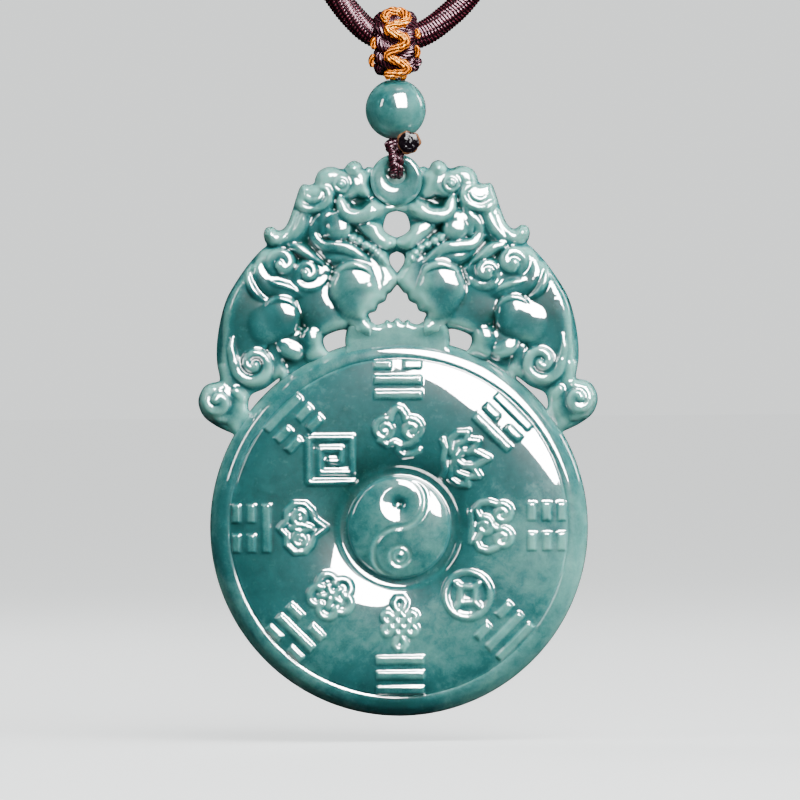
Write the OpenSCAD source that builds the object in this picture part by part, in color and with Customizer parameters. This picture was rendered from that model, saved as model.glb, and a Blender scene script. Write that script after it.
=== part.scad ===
// A carved jade pendant on a thick neck cord, hanging as it is worn.
// Millimetres. +Z is up and the carved face looks along -Y.
// The origin is the point on the nape that carries the neck cord.

/* [Jade] */
// Diameter of the round eight-trigram disc
disc_d = 40; // [32:1:50]
// Height of the carved crest above the disc
crest_rise = 19.5; // [16:0.5:24]
// Half thickness of the disc's front at the crown of its field
disc_front = 3; // [2.4:0.1:3.8]
// Half thickness of the disc's back
disc_back = 2.4; // [1.8:0.1:3]
// Half thickness of the crest before its carved swells
crest_half = 1.6; // [1.3:0.1:2.2]
// Diameter of the coin that the two lions hold
coin_d = 5.6; // [5:0.1:7]
// Thickness of the coin
coin_t = 3.5; // [2.6:0.1:4.4]
// Diameter of the cord hole through the coin
hole_d = 2; // [1.65:0.05:2.5]
// Height of the hole's centre above the coin's centre
hole_rise = 0.6; // [0.4:0.05:0.7]
// Length of a whole trigram bar
bar_length = 5.1; // [4:0.1:6]
// Width of a trigram bar
bar_width = 0.85; // [0.6:0.05:1.1]
// Length of each half of a broken bar
half_bar_length = 1.9; // [1.4:0.1:2.2]

/* [Bead and cords] */
// Diameter of the jade bead
bead_d = 6.4; // [5.3:0.1:8]
// Diameter of the bead's bore
bead_bore = 1.5; // [1.3:0.05:2]
// Diameter of the cord that hangs the coin
loop_cord_d = 1.4; // [1.1:0.05:1.6]
// Diameter of the cord inside the bead
bead_cord_d = 1.2; // [1:0.05:1.25]
// Diameter of the knot under the bead
knot_d = 2.4; // [2.2:0.1:2.8]
// Height of the knot under the bead
knot_h = 1.3; // [1.1:0.1:1.6]
// Diameter of the cord's melted end
melt_d = 2.5; // [2:0.1:3]
// Thickness of the cord's melted end
melt_t = 0.8; // [0.6:0.1:1.2]
// Diameter of the stub that carries the melted end
stub_d = 1.1; // [0.9:0.1:1.3]
// Diameter of the neck cord
neck_cord_d = 2.8; // [2.3:0.1:3.4]

/* [Bail] */
// Width of the bail across the pendant
bail_w = 5; // [4.2:0.1:6]
// Thickness of the braid round the neck cord
bail_wall = 1.4; // [1.1:0.1:1.8]
// Height of the bail below the neck cord's underside
bail_tail = 2.7; // [2.2:0.1:3.4]
// Half depth of the bail at its foot
bail_foot = 1.5; // [1.2:0.1:2]
// Diameter of the gold thread
gold_d = 0.75; // [0.6:0.05:0.9]
// Length of the sleeve that joins the cord at the nape
sleeve_length = 14; // [10:1:16]
// Thickness of the sleeve's wall
sleeve_wall = 0.8; // [0.6:0.1:1.2]

/* [Hidden] */

// Clearances between neighbours
seat_gap = 0.05;
bore_gap = 0.1;
loop_gap = 0.1;
knot_gap = 0.15;
sleeve_gap = 0.25;
thread_gap = 0.12;

// How finely curves are drawn
$fn = 48;
cord_sides = 8;
edge_steps = 4;

// Chosen points of the neck cord, from the nape down the wearer's left, round the bail and back
cord_route = [
    [0, 0, 0], [9, 0, 0], [22, -3, -1], [35, -10.5, -3], [46, -22, -7], [54, -37, -14],
    [59, -53, -24], [61, -68, -37], [61, -80, -53], [59.5, -90, -71], [56.5, -97.5, -91],
    [52, -103.5, -111], [46.5, -108.5, -130], [40, -112, -149], [33, -114.5, -167],
    [26, -116.2, -184], [19, -117.4, -199.5], [13, -118, -212.5], [8, -118, -220],
    [5, -118, -223], [2.6, -118, -224.5], [0.2, -118, -225], [-2, -118, -224.5],
    [-4, -118, -223], [-6.6, -118, -219.6], [-11.8, -118, -211], [-18, -117.4, -199],
    [-25.3, -116.2, -184], [-33, -114.5, -167], [-40, -112, -149], [-46.5, -108.5, -130],
    [-52, -103.5, -111], [-56.5, -97.5, -91], [-59.5, -90, -71], [-61, -80, -53],
    [-61, -68, -37], [-59, -53, -24], [-54, -37, -14], [-46, -22, -7], [-35, -10.5, -3],
    [-22, -3, -1], [-9, 0, 0]
];

// Everything hangs down from the neck cord's lowest point
cord_low = -225;
pendant_y = -118;
bail_r = neck_cord_d / 2 + bail_wall;
bail_drop = neck_cord_d / 2 + bail_tail;
bead_z = cord_low - bail_drop - seat_gap - bead_d / 2;
knot_z = bead_z - bead_d / 2 - seat_gap - knot_h / 2;
crown_z = knot_z - knot_h / 2 - knot_gap;
coin_z = crown_z - coin_d / 2;
hole_z = coin_z + hole_rise;
disc_r = disc_d / 2;
disc_z = crown_z - crest_rise - disc_r;
socket_depth = 1.2;
melt_x = 1.35;
melt_lift = 0.3;
bar_depth = 1;
swell_root = 0.4;

// Crest tables. Across is a share of the disc's radius. Up is a share of the disc's radius
// as far as 1, the top of the disc, and from 1 to 2 a share of the crest's rise.
function crest(share) =
    [share[0] * disc_r, share[1] < 1 ? share[1] * disc_r : disc_r + (share[1] - 1) * crest_rise];

// Right half of the crest's edge, from the coin out over the lion's back to its tail
crest_edge = [
    [0, 1.9], [0.12, 1.925], [0.155, 1.94], [0.2, 1.97], [0.245, 1.94], [0.3, 1.95], [0.36, 1.93],
    [0.4, 1.865], [0.445, 1.865], [0.485, 1.835], [0.52, 1.74], [0.545, 1.665], [0.59, 1.605],
    [0.67, 1.61], [0.705, 1.555], [0.69, 1.49], [0.785, 1.42], [0.885, 1.29], [0.94, 1.17],
    [0.96, 1.02], [0.955, 0.885], [0.935, 0.8], [0.97, 0.775], [1.035, 0.735], [1.055, 0.66],
    [1.015, 0.58], [0.96, 0.54], [0.875, 0.5]
];
// The crest's foot, hidden in the disc
crest_foot = [[0.6, 0.4], [-0.02, 0.4], [-0.02, 1.9]];
// Open windows: three on the middle line, given by their right halves, and two on each side
chin_window = [[0, 1.69], [0.05, 1.67], [0.07, 1.6], [0.045, 1.565], [0, 1.545]];
chest_window = [[0, 1.47], [0.035, 1.45], [0.035, 1.405], [0, 1.355]];
paw_window = [[0, 1.29], [0.045, 1.22], [0.09, 1.16], [0.135, 1.1], [0.08, 1.1], [0, 1.095]];
leg_window = [[0.27, 1.045], [0.385, 1.01], [0.375, 0.94], [0.31, 0.91], [0.28, 0.94]];
tail_window = [[0.625, 0.79], [0.7, 0.74], [0.78, 0.7], [0.785, 0.62], [0.7, 0.67]];

// Swells of each lion: across, up, radius as a share of the disc's radius, height in mm
swells = [
    [0.335, 1.82, 0.1, 0.7], // brow and eye
    [0.19, 1.71, 0.085, 0.7], // muzzle
    [0.3, 1.6, 0.08, 0.8], // cheek
    [0.455, 1.74, 0.07, 0.6], // mane
    [0.235, 1.26, 0.135, 1.3], // shoulder
    [0.615, 1.4, 0.085, 0.9], // upper wing curl
    [0.465, 1.34, 0.075, 0.8], // lower wing curl
    [0.66, 1.1, 0.15, 1.2], // haunch
    [0.82, 1.14, 0.1, 0.6], // back
    [0.775, 0.87, 0.09, 0.9], // hind curl
    [0.95, 0.665, 0.085, 0.5], // tail curl
    [0.5, 0.99, 0.08, 0.7], // hind paw
    [0.17, 1.06, 0.07, 0.6] // fore paw
];

// Half section of the disc: shares of its radius and of its front or back half thickness
disc_face = [
    [0, 1.1], [0.1, 1.085], [0.19, 1.02], [0.25, 0.92], [0.272, 0.82], [0.282, 0.68],
    [0.315, 0.66], [0.345, 0.84], [0.4, 0.93], [0.5, 0.985], [0.6, 1], [0.7, 0.975],
    [0.8, 0.9], [0.885, 0.77], [0.895, 0.73], [0.905, 0.74], [0.95, 0.6], [0.98, 0.4],
    [0.995, 0.2], [1, 0]
];
disc_rear = [[0.995, 0.25], [0.975, 0.5], [0.93, 0.75], [0.86, 0.92], [0.7, 1], [0, 1]];
// Half section of the coin: shares of its radius and of its half thickness
coin_face = [[0, 0.72], [0.4, 0.8], [0.55, 0.95], [0.72, 1], [0.88, 0.86], [0.98, 0.5], [1, 0]];

// The eight trigrams, anticlockwise from the right. Each lists its bars from the middle of the
// disc outwards: 1 is whole and 0 is broken.
trigrams = [
    [0, 0, 0], [1, 0, 1], [1, 1, 0], [0, 0, 1], [1, 0, 0], [0, 1, 0], [1, 1, 1], [0, 1, 1]
];
// Place of each bar and height of its top, as shares of the disc's radius and half thickness
bar_rows = [[0.7, 1.06], [0.78, 1], [0.86, 0.89]];

// Half section of the cord's melted end: shares of its diameter and thickness
melt_section = [[0, 0], [0.32, 0], [0.47, 0.25], [0.5, 0.6], [0.44, 0.95], [0.3, 1], [0, 0.85]];

// Half section of the knot outside its bore: shares of its radius and height
knot_section = [[0.75, -0.5], [0.96, -0.25], [0.96, 0.25], [0.75, 0.5]];

// Path of the hanging loop's front half, from the hole's centre up past the coin. Shares of the
// strand's reach in front of the coin and of the knot's height over the hole.
loop_rise = [[0, 0], [0.5, 0], [0.84, 0.08], [1, 0.31], [0.98, 0.58]];
// Its end, which turns in to the knot: share of the way from the knot's side out to that reach,
// and of the knot's height again.
loop_turn = [[0.68, 0.84], [0.2, 0.97], [0, 1]];

// Zigzag of the gold thread on the bail: share of half the bail's width, and height over the
// neck cord as a share of the bail's radius above it and of its drop below it
gold_path = [
    [-0.55, -0.91], [0.5, -0.74], [-0.3, -0.43], [0.5, -0.08], [-0.34, 0.36], [0.5, 0.73],
    [0.04, 1.05], [-0.36, 0.8]
];

function unit(v) = v / norm(v);

// A point on the smooth curve from b to c, with its neighbours a and d
function bend(a, b, c, d, t) =
    (2 * b + (c - a) * t + (2 * a - 5 * b + 4 * c - d) * t * t + (3 * b - a - 3 * c + d) * t * t * t) / 2;

function smooth_loop(p, steps) = let(n = len(p)) [
    for (i = [0 : n - 1], k = [0 : steps - 1])
        bend(p[(i + n - 1) % n], p[i], p[(i + 1) % n], p[(i + 2) % n], k / steps)
];

function smooth_line(p, steps) = let(n = len(p)) [
    for (i = [0 : n - 2], k = [0 : steps - 1])
        bend(p[max(i - 1, 0)], p[i], p[i + 1], p[min(i + 2, n - 1)], k / steps),
    p[n - 1]
];

// A tube swept along points that lie near a plane with the given normal
module tube(points, diameter, normal, closed) {
    count = len(points);
    ahead = [for (i = [0 : count - 1]) closed ? points[(i + 1) % count] : points[min(i + 1, count - 1)]];
    behind = [for (i = [0 : count - 1]) closed ? points[(i + count - 1) % count] : points[max(i - 1, 0)]];
    skin = [
        for (i = [0 : count - 1])
            let (
                along = unit(ahead[i] - behind[i]),
                side = unit(cross(along, normal)),
                up = cross(side, along)
            )
            for (k = [0 : cord_sides - 1])
                let (turn = 360 * k / cord_sides)
                points[i] + diameter / 2 * (cos(turn) * side + sin(turn) * up)
    ];
    spans = closed ? count : count - 1;
    walls = [
        for (i = [0 : spans - 1], k = [0 : cord_sides - 1])
            let (
                next = (i + 1) % count * cord_sides,
                here = i * cord_sides,
                beside = (k + 1) % cord_sides
            )
            [here + beside, next + beside, next + k, here + k]
    ];
    first_cap = [for (k = [cord_sides - 1 : -1 : 0]) k];
    last_cap = [for (k = [0 : cord_sides - 1]) (count - 1) * cord_sides + k];
    polyhedron(skin, closed ? walls : concat(walls, [first_cap, last_cap]), convexity = 10);
}

// Puts a shape drawn in a plane upright: its own Y becomes up and its thickness the depth
module upright() {
    rotate([90, 0, 0]) children();
}

function mirrored(half) = concat(half, [for (i = [len(half) - 2 : -1 : 1]) [-half[i][0], half[i][1]]]);

module crest_outline() {
    edge = concat(
        smooth_line([for (p = crest_edge) crest(p)], edge_steps),
        [for (p = crest_foot) crest(p)]
    );
    difference() {
        union() {
            polygon(edge);
            mirror([1, 0]) polygon(edge);
        }
        for (window = [chin_window, chest_window, paw_window])
            polygon([for (p = mirrored(window)) crest(p)]);
        for (side = [0, 1], window = [leg_window, tail_window])
            mirror([side, 0]) polygon([for (p = window) crest(p)]);
    }
}

// The cap of a ball that stands a given height out of the crest's face
module swell(share, radius, height) {
    ball_r = (radius * radius + height * height) / (2 * height);
    spot = crest(share);
    translate([spot[0], spot[1], crest_half]) intersection() {
        translate([0, 0, height - ball_r]) sphere(ball_r);
        translate([-ball_r, -ball_r, -swell_root]) cube([2 * ball_r, 2 * ball_r, ball_r]);
    }
}

module trigram_bars() {
    for (way = [0 : 7], row = [0 : 2]) {
        top = bar_rows[row][1] * disc_front;
        whole = trigrams[way][row] == 1;
        length = whole ? bar_length : half_bar_length;
        rotate(45 * way) translate([bar_rows[row][0] * disc_r, 0, top - bar_depth])
            for (side = whole ? [0] : [-1, 1])
                translate([-bar_width / 2, (side * (bar_length - length) - length) / 2, 0])
                    cube([bar_width, length, bar_depth]);
    }
}

module disc_body() {
    rotate_extrude($fn = 96) polygon(concat(
        [for (p = disc_face) [p[0] * disc_r, p[1] * disc_front]],
        [for (p = disc_rear) [p[0] * disc_r, -p[1] * disc_back]]
    ));
}

module coin_body() {
    coin_r = coin_d / 2;
    rotate_extrude() polygon(concat(
        [for (p = coin_face) [p[0] * coin_r, p[1] * coin_t / 2]],
        [for (i = [len(coin_face) - 2 : -1 : 0]) [coin_face[i][0] * coin_r, -coin_face[i][1] * coin_t / 2]]
    ));
}

// One stone: disc, lions and coin, with the cord hole drilled through the coin
module jade_pendant() {
    color("#4f8f8a") translate([0, pendant_y, disc_z]) upright() difference() {
        union() {
            disc_body();
            trigram_bars();
            translate([0, 0, -crest_half]) linear_extrude(2 * crest_half) crest_outline();
            for (side = [0, 1], s = swells)
                mirror([side, 0]) swell([s[0], s[1]], s[2] * disc_r, s[3]);
            translate([0, coin_z - disc_z, 0]) coin_body();
        }
        translate([0, hole_z - disc_z, -coin_t]) cylinder(d = hole_d, h = 2 * coin_t);
    }
}

// The doubled cord through the coin's hole, up its front and back to the knot
module hanging_loop() {
    reach = coin_t / 2 + loop_gap + loop_cord_d / 2;
    meet = knot_d / 2 + 1.5 * seat_gap;
    lift = knot_z - hole_z;
    half = concat(
        [for (p = loop_rise) [0, p[0] * reach, p[1] * lift]],
        [for (p = loop_turn) [0, meet + p[0] * (reach - meet), p[1] * lift]]
    );
    whole = concat(
        [for (i = [len(half) - 1 : -1 : 1]) half[i]],
        [for (p = half) [0, -p[1], p[2]]]
    );
    color("#4a1622") translate([0, pendant_y, hole_z])
        tube(smooth_line(whole, 2), loop_cord_d, [1, 0, 0], false);
}

// The knot is a small barrel round the bead's cord
module loop_knot() {
    knot_r = knot_d / 2;
    bore_r = bead_cord_d / 2 + seat_gap;
    color("#4a1622") translate([0, pendant_y, knot_z]) rotate_extrude() polygon(concat(
        [[bore_r, -knot_h / 2]],
        [for (p = knot_section) [p[0] * knot_r, p[1] * knot_h]],
        [[bore_r, knot_h / 2]]
    ));
}

// The cord's end leaves the knot at its right and turns forward into a melted button
module cord_end() {
    beside = knot_d / 2 + seat_gap + stub_d / 2;
    head_y = coin_t / 2 + loop_cord_d + loop_gap;
    turn_out = [
        [beside - 0.1, 0.2, 0], [beside + 0.1, -0.6, 0.1], [beside + 0.05, -1.5, 0.2],
        [melt_x, -head_y - melt_t / 4, melt_lift]
    ];
    color("#2c1418") translate([0, pendant_y, knot_z]) union() {
        tube(smooth_line(turn_out, 2), stub_d, [0, 0, 1], false);
        translate([melt_x, -head_y, melt_lift]) rotate([90, 0, 0]) rotate_extrude()
            polygon([for (p = melt_section) [p[0] * melt_d, p[1] * melt_t]]);
    }
}

module bead_cord() {
    low = knot_z - knot_h / 2;
    high = cord_low - bail_drop + socket_depth - seat_gap;
    color("#4a1622") translate([0, pendant_y, low]) cylinder(d = bead_cord_d, h = high - low);
}

module jade_bead() {
    color("#5b9a94") translate([0, pendant_y, bead_z]) difference() {
        sphere(d = bead_d);
        translate([0, 0, -bead_d]) cylinder(d = bead_bore, h = 2 * bead_d);
    }
}

// Half depth of the bail at a height over the neck cord's middle
function bail_half(z, grow) =
    z >= 0 ? sqrt(max(pow(bail_r + grow, 2) - z * z, 0))
           : bail_r + grow - (bail_r - bail_foot) * pow(-z / bail_drop, 1.5);

// The braided bail wraps the neck cord and narrows to its foot on the bead
module bail_wrap() {
    round_r = 0.26 * bail_w;
    lump_r = 0.14 * bail_w;
    lump_z = -0.63 * bail_drop;
    spare = 0.4;
    arch = [for (turn = [0 : 10 : 180]) [bail_r * cos(turn), bail_r * sin(turn)]];
    legs = [for (k = [1 : 8]) let (z = -bail_drop * k / 8) [bail_half(z, 0), z]];
    side_view = concat(arch, [for (p = legs) [-p[0], p[1]]], [for (k = [7 : -1 : 0]) legs[k]]);
    corner = bail_w / 2 - round_r;
    front_view = [
        for (turn = [0 : 15 : 345])
            let (
                right = turn <= 90 || turn > 270 ? 1 : -1,
                middle = turn < 180 ? bail_r - round_r + spare : round_r - bail_drop - spare
            )
            [right * corner + round_r * cos(turn), middle + round_r * sin(turn)]
    ];
    color("#4a1622") translate([0, pendant_y, cord_low]) difference() {
        union() {
            intersection() {
                rotate([90, 0, 90]) translate([0, 0, -bail_w / 2]) linear_extrude(bail_w) polygon(side_view);
                rotate([90, 0, 0]) translate([0, 0, -2 * bail_r]) linear_extrude(4 * bail_r)
                    polygon(front_view);
            }
            translate([0.38 * bail_w, lump_r / 3 - bail_half(lump_z, 0), lump_z]) sphere(lump_r);
        }
        translate([0, -pendant_y, -cord_low]) neck_tube(neck_cord_d + 2 * bore_gap);
        translate([0, 0, -bail_drop - 1]) cylinder(d = bead_cord_d + 2 * bore_gap, h = socket_depth + 1);
    }
}

// The gold thread lies on the front of the braid
module gold_thread() {
    proud = gold_d / 2 + thread_gap;
    path = [
        for (p = gold_path)
            let (z = p[1] * (p[1] < 0 ? bail_drop : bail_r))
            [p[0] * bail_w / 2, pendant_y - bail_half(z, proud), cord_low + z]
    ];
    color("#e39a2c") tube(smooth_line(path, 4), gold_d, [0, 1, 0], false);
}

module neck_tube(diameter) {
    tube(smooth_loop(cord_route, 2), diameter, [0, 0.885, -0.465], true);
}

module neck_cord() {
    color("#451420") neck_tube(neck_cord_d);
}

// A plain wound sleeve over the neck cord's joined ends
module nape_sleeve() {
    bore_r = neck_cord_d / 2 + sleeve_gap;
    outer_r = bore_r + sleeve_wall;
    end = sleeve_length / 2;
    bevel = 0.5 * sleeve_wall;
    color("#3c121c") rotate([0, 90, 0]) rotate_extrude() polygon([
        [bore_r, -end], [outer_r - bevel, -end], [outer_r, bevel - end], [outer_r, end - bevel],
        [outer_r - bevel, end], [bore_r, end]
    ]);
}

jade_pendant();
hanging_loop();
loop_knot();
cord_end();
bead_cord();
jade_bead();
bail_wrap();
gold_thread();
neck_cord();
nape_sleeve();
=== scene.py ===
import math

import bmesh
import bpy
import numpy as np
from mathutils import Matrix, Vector


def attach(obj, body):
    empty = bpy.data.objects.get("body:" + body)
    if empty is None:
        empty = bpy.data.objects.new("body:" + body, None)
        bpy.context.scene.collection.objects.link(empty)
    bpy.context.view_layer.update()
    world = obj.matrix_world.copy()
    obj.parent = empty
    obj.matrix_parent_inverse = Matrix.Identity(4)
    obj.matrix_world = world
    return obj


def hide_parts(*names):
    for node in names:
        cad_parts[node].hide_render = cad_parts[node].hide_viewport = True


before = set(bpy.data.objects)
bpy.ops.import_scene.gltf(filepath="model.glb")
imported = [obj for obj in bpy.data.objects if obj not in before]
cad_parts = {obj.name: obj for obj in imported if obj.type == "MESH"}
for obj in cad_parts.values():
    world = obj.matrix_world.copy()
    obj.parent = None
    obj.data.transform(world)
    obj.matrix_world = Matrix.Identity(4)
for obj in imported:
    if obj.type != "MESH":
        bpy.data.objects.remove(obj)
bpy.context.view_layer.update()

# The camera looks straight at the carved face from a metre away through a long lens, as a
# stone is photographed. It is turned by half a degree, because the pendant hangs that much
# out of true in the photograph.
mm = 0.001
pendant_y = -118 * mm
view_width = 84.66 * mm
view_middle = Vector((0.21 * mm, pendant_y, -263.11 * mm))
camera_distance = 1.0
camera_roll = 0.45
camera_data = bpy.data.cameras.new("camera")
camera_data.sensor_width = 36
camera_data.lens = camera_data.sensor_width * camera_distance / view_width
camera_data.clip_start = 0.05
camera_data.clip_end = 20
camera = bpy.data.objects.new("camera", camera_data)
bpy.context.scene.collection.objects.link(camera)
camera.location = view_middle - Vector((0, camera_distance, 0))
camera.rotation_euler = (math.radians(90), math.radians(camera_roll), 0)
bpy.context.scene.camera = camera

# The studio. A plain pale floor runs out to a pale background. A large softbox stands high on
# the right with a sheet of diffuser before it, a strip light on the left and a broad panel on
# the right, and two panels behind light the stone's edges. The floor shines on nothing.
floor_z = -299.3 * mm
floor_r = 40.0
paleness = (0.97, 1.0, 0.995)


def plug(material, node, sockets):
    """Gives a node's sockets their values, or joins other nodes' outlets to them."""
    for name, value in sockets.items():
        if isinstance(value, bpy.types.NodeSocket):
            material.node_tree.links.new(value, node.inputs[name])
        else:
            node.inputs[name].default_value = value


def add_node(material, kind, sockets, **settings):
    """A new node of a material, set up and plugged in."""
    node = material.node_tree.nodes.new("ShaderNode" + kind)
    for name, value in settings.items():
        setattr(node, name, value)
    plug(material, node, sockets)
    return node


def paint(name, colour, roughness):
    """A new material with one main shader, and that shader."""
    material = bpy.data.materials.new(name)
    material.use_nodes = True
    shader = material.node_tree.nodes["Principled BSDF"]
    plug(material, shader, {"Base Color": (*colour, 1), "Roughness": roughness})
    return material, shader


def placed(form, name, material):
    """A finished form as an object of the scene, with its material."""
    mesh = bpy.data.meshes.new(name)
    form.to_mesh(mesh)
    form.free()
    mesh.materials.append(material)
    thing = bpy.data.objects.new(name, mesh)
    bpy.context.scene.collection.objects.link(thing)
    return thing


floor_paint, floor_shader = paint("floor_paint", (0.3, 0.31, 0.31), 0.9)
plug(floor_paint, floor_shader, {
    "Specular IOR Level": 0.0,
    "Emission Color": (*paleness, 1),
    "Emission Strength": 1.2,
})
floor_form = bmesh.new()
bmesh.ops.create_circle(floor_form, cap_ends=True, segments=96, radius=floor_r)
bmesh.ops.translate(floor_form, verts=floor_form.verts[:], vec=(0, 0, floor_z))
floor = placed(floor_form, "floor", floor_paint)
floor.visible_diffuse = False
floor.visible_glossy = False


def panel_light(name, turn, rise, distance, width, height, power, lights=True, shines=True):
    """A rectangular panel at a turn to the right and a rise, aimed at the middle of the view."""
    data = bpy.data.lights.new(name, "AREA")
    data.shape = "RECTANGLE"
    data.size = width
    data.size_y = height
    data.energy = power
    lamp = bpy.data.objects.new(name, data)
    side, up = math.radians(turn), math.radians(rise)
    away = Vector((math.sin(side) * math.cos(up), -math.cos(side) * math.cos(up), math.sin(up)))
    lamp.location = view_middle + away * distance
    lamp.rotation_euler = away.to_track_quat("Z", "Y").to_euler()
    bpy.context.scene.collection.objects.link(lamp)
    lamp.visible_camera = False
    lamp.visible_diffuse = lights
    lamp.visible_glossy = shines


# The softbox and the sheet in front of it, which is what the polish mirrors
panel_light("softbox", 24, 35, 0.7, 0.51, 0.71, 24, shines=False)
panel_light("softbox_sheet", 24, 35, 0.67, 0.49, 0.68, 260, lights=False)
panel_light("strip_left", -58, 24, 0.7, 0.1, 0.3, 2.2)
panel_light("side_right", 78, 12, 0.7, 0.5, 0.6, 9, shines=False)
panel_light("rim_left", -140, 25, 0.6, 0.25, 0.4, 4, shines=False)
panel_light("rim_right", 118, 22, 0.6, 0.1, 0.24, 1.5)

world = bpy.data.worlds.new("studio")
world.use_nodes = True
world_nodes = world.node_tree.nodes
ambient = world_nodes["Background"]
plug(world, ambient, {"Color": (0.62, 0.66, 0.68, 1), "Strength": 0.04})
backdrop = add_node(world, "Background", {"Color": (*paleness, 1), "Strength": 1.27})
seen = add_node(world, "LightPath", {})
either = add_node(world, "MixShader", {
    "Fac": seen.outputs["Is Camera Ray"],
    1: ambient.outputs["Background"],
    2: backdrop.outputs["Background"],
})
plug(world, world_nodes["World Output"], {"Surface": either.outputs["Shader"]})
bpy.context.scene.world = world

# The neck cord is a thick round cord of fine maroon thread wound closely round a soft core.
# It is one closed loop that runs from the nape down both sides of the chest and through the
# bail, and a plain sleeve joins its two ends at the nape.
neck_cord_r = 1.4 * mm
winding = 0.34 * mm
rib = 0.05 * mm
weld = 0.001 * mm
cord_route = [
    (0, 0, 0), (9, 0, 0), (22, -3, -1), (35, -10.5, -3), (46, -22, -7), (54, -37, -14),
    (59, -53, -24), (61, -68, -37), (61, -80, -53), (59.5, -90, -71), (56.5, -97.5, -91),
    (52, -103.5, -111), (46.5, -108.5, -130), (40, -112, -149), (33, -114.5, -167),
    (26, -116.2, -184), (19, -117.4, -199.5), (13, -118, -212.5), (8, -118, -220),
    (5, -118, -223), (2.6, -118, -224.5), (0.2, -118, -225), (-2, -118, -224.5),
    (-4, -118, -223), (-6.6, -118, -219.6), (-11.8, -118, -211), (-18, -117.4, -199),
    (-25.3, -116.2, -184), (-33, -114.5, -167), (-40, -112, -149), (-46.5, -108.5, -130),
    (-52, -103.5, -111), (-56.5, -97.5, -91), (-59.5, -90, -71), (-61, -80, -53),
    (-61, -68, -37), (-59, -53, -24), (-54, -37, -14), (-46, -22, -7), (-35, -10.5, -3),
    (-22, -3, -1), (-9, 0, 0),
]


def smooth_path(points, steps, closed=False):
    """The smooth curve through a strand's chosen points, with a number of steps between two."""
    dots = np.array(points, float)
    if closed:
        dots = np.concatenate([dots[-1:], dots, dots[:2]])
    else:
        dots = np.concatenate([dots[:1], dots, dots[-1:]])
    a, b, c, d = dots[:-3, None], dots[1:-2, None], dots[2:-1, None], dots[3:, None]
    t = np.linspace(0, 1, steps, endpoint=False)[None, :, None]
    curve = b + (c - a) * t / 2 + (a - 2.5 * b + 2 * c - d / 2) * t**2
    curve = curve + (1.5 * b - a / 2 - 1.5 * c + d / 2) * t**3
    curve = curve.reshape(-1, dots.shape[1])
    return np.concatenate([curve, dots[-2:-1]])


def lengths_along(path):
    """How far along it each point of a path lies."""
    steps = np.linalg.norm(np.diff(path, axis=0), axis=1)
    return np.concatenate([[0], np.cumsum(steps)])


def dots_of(x, y, z):
    """Places from their x, y and z, each of which may be one number for them all."""
    return np.stack(np.broadcast_arrays(x, y, z), axis=1)


def unit_rows(rows):
    """Rows of vectors, each made one long."""
    return rows / np.maximum(np.linalg.norm(rows, axis=-1, keepdims=True), 1e-12)


def path_frames(path, closed):
    """Two directions across a path at each of its points, which turn as little as they can."""
    tangent = np.empty_like(path)
    tangent[1:-1] = path[2:] - path[:-2]
    tangent[0] = path[1] - (path[-2] if closed else path[0])
    tangent[-1] = tangent[0] if closed else path[-1] - path[-2]
    tangent = unit_rows(tangent)
    start = np.cross(tangent[0], (0.3, 0.85, -0.45))
    side = np.empty_like(path)
    side[0] = start / np.linalg.norm(start)
    for i in range(1, len(path)):
        moved = side[i - 1] - tangent[i] * np.dot(side[i - 1], tangent[i])
        side[i] = moved / np.linalg.norm(moved)
    if closed:
        over = np.cross(tangent[0], side[0])
        twist = math.atan2(np.dot(side[-1], over), np.dot(side[-1], side[0]))
        back = -twist * lengths_along(path) / lengths_along(path)[-1]
        up = np.cross(tangent, side)
        side = side * np.cos(back)[:, None] + up * np.sin(back)[:, None]
    return side, np.cross(tangent, side)


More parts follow.
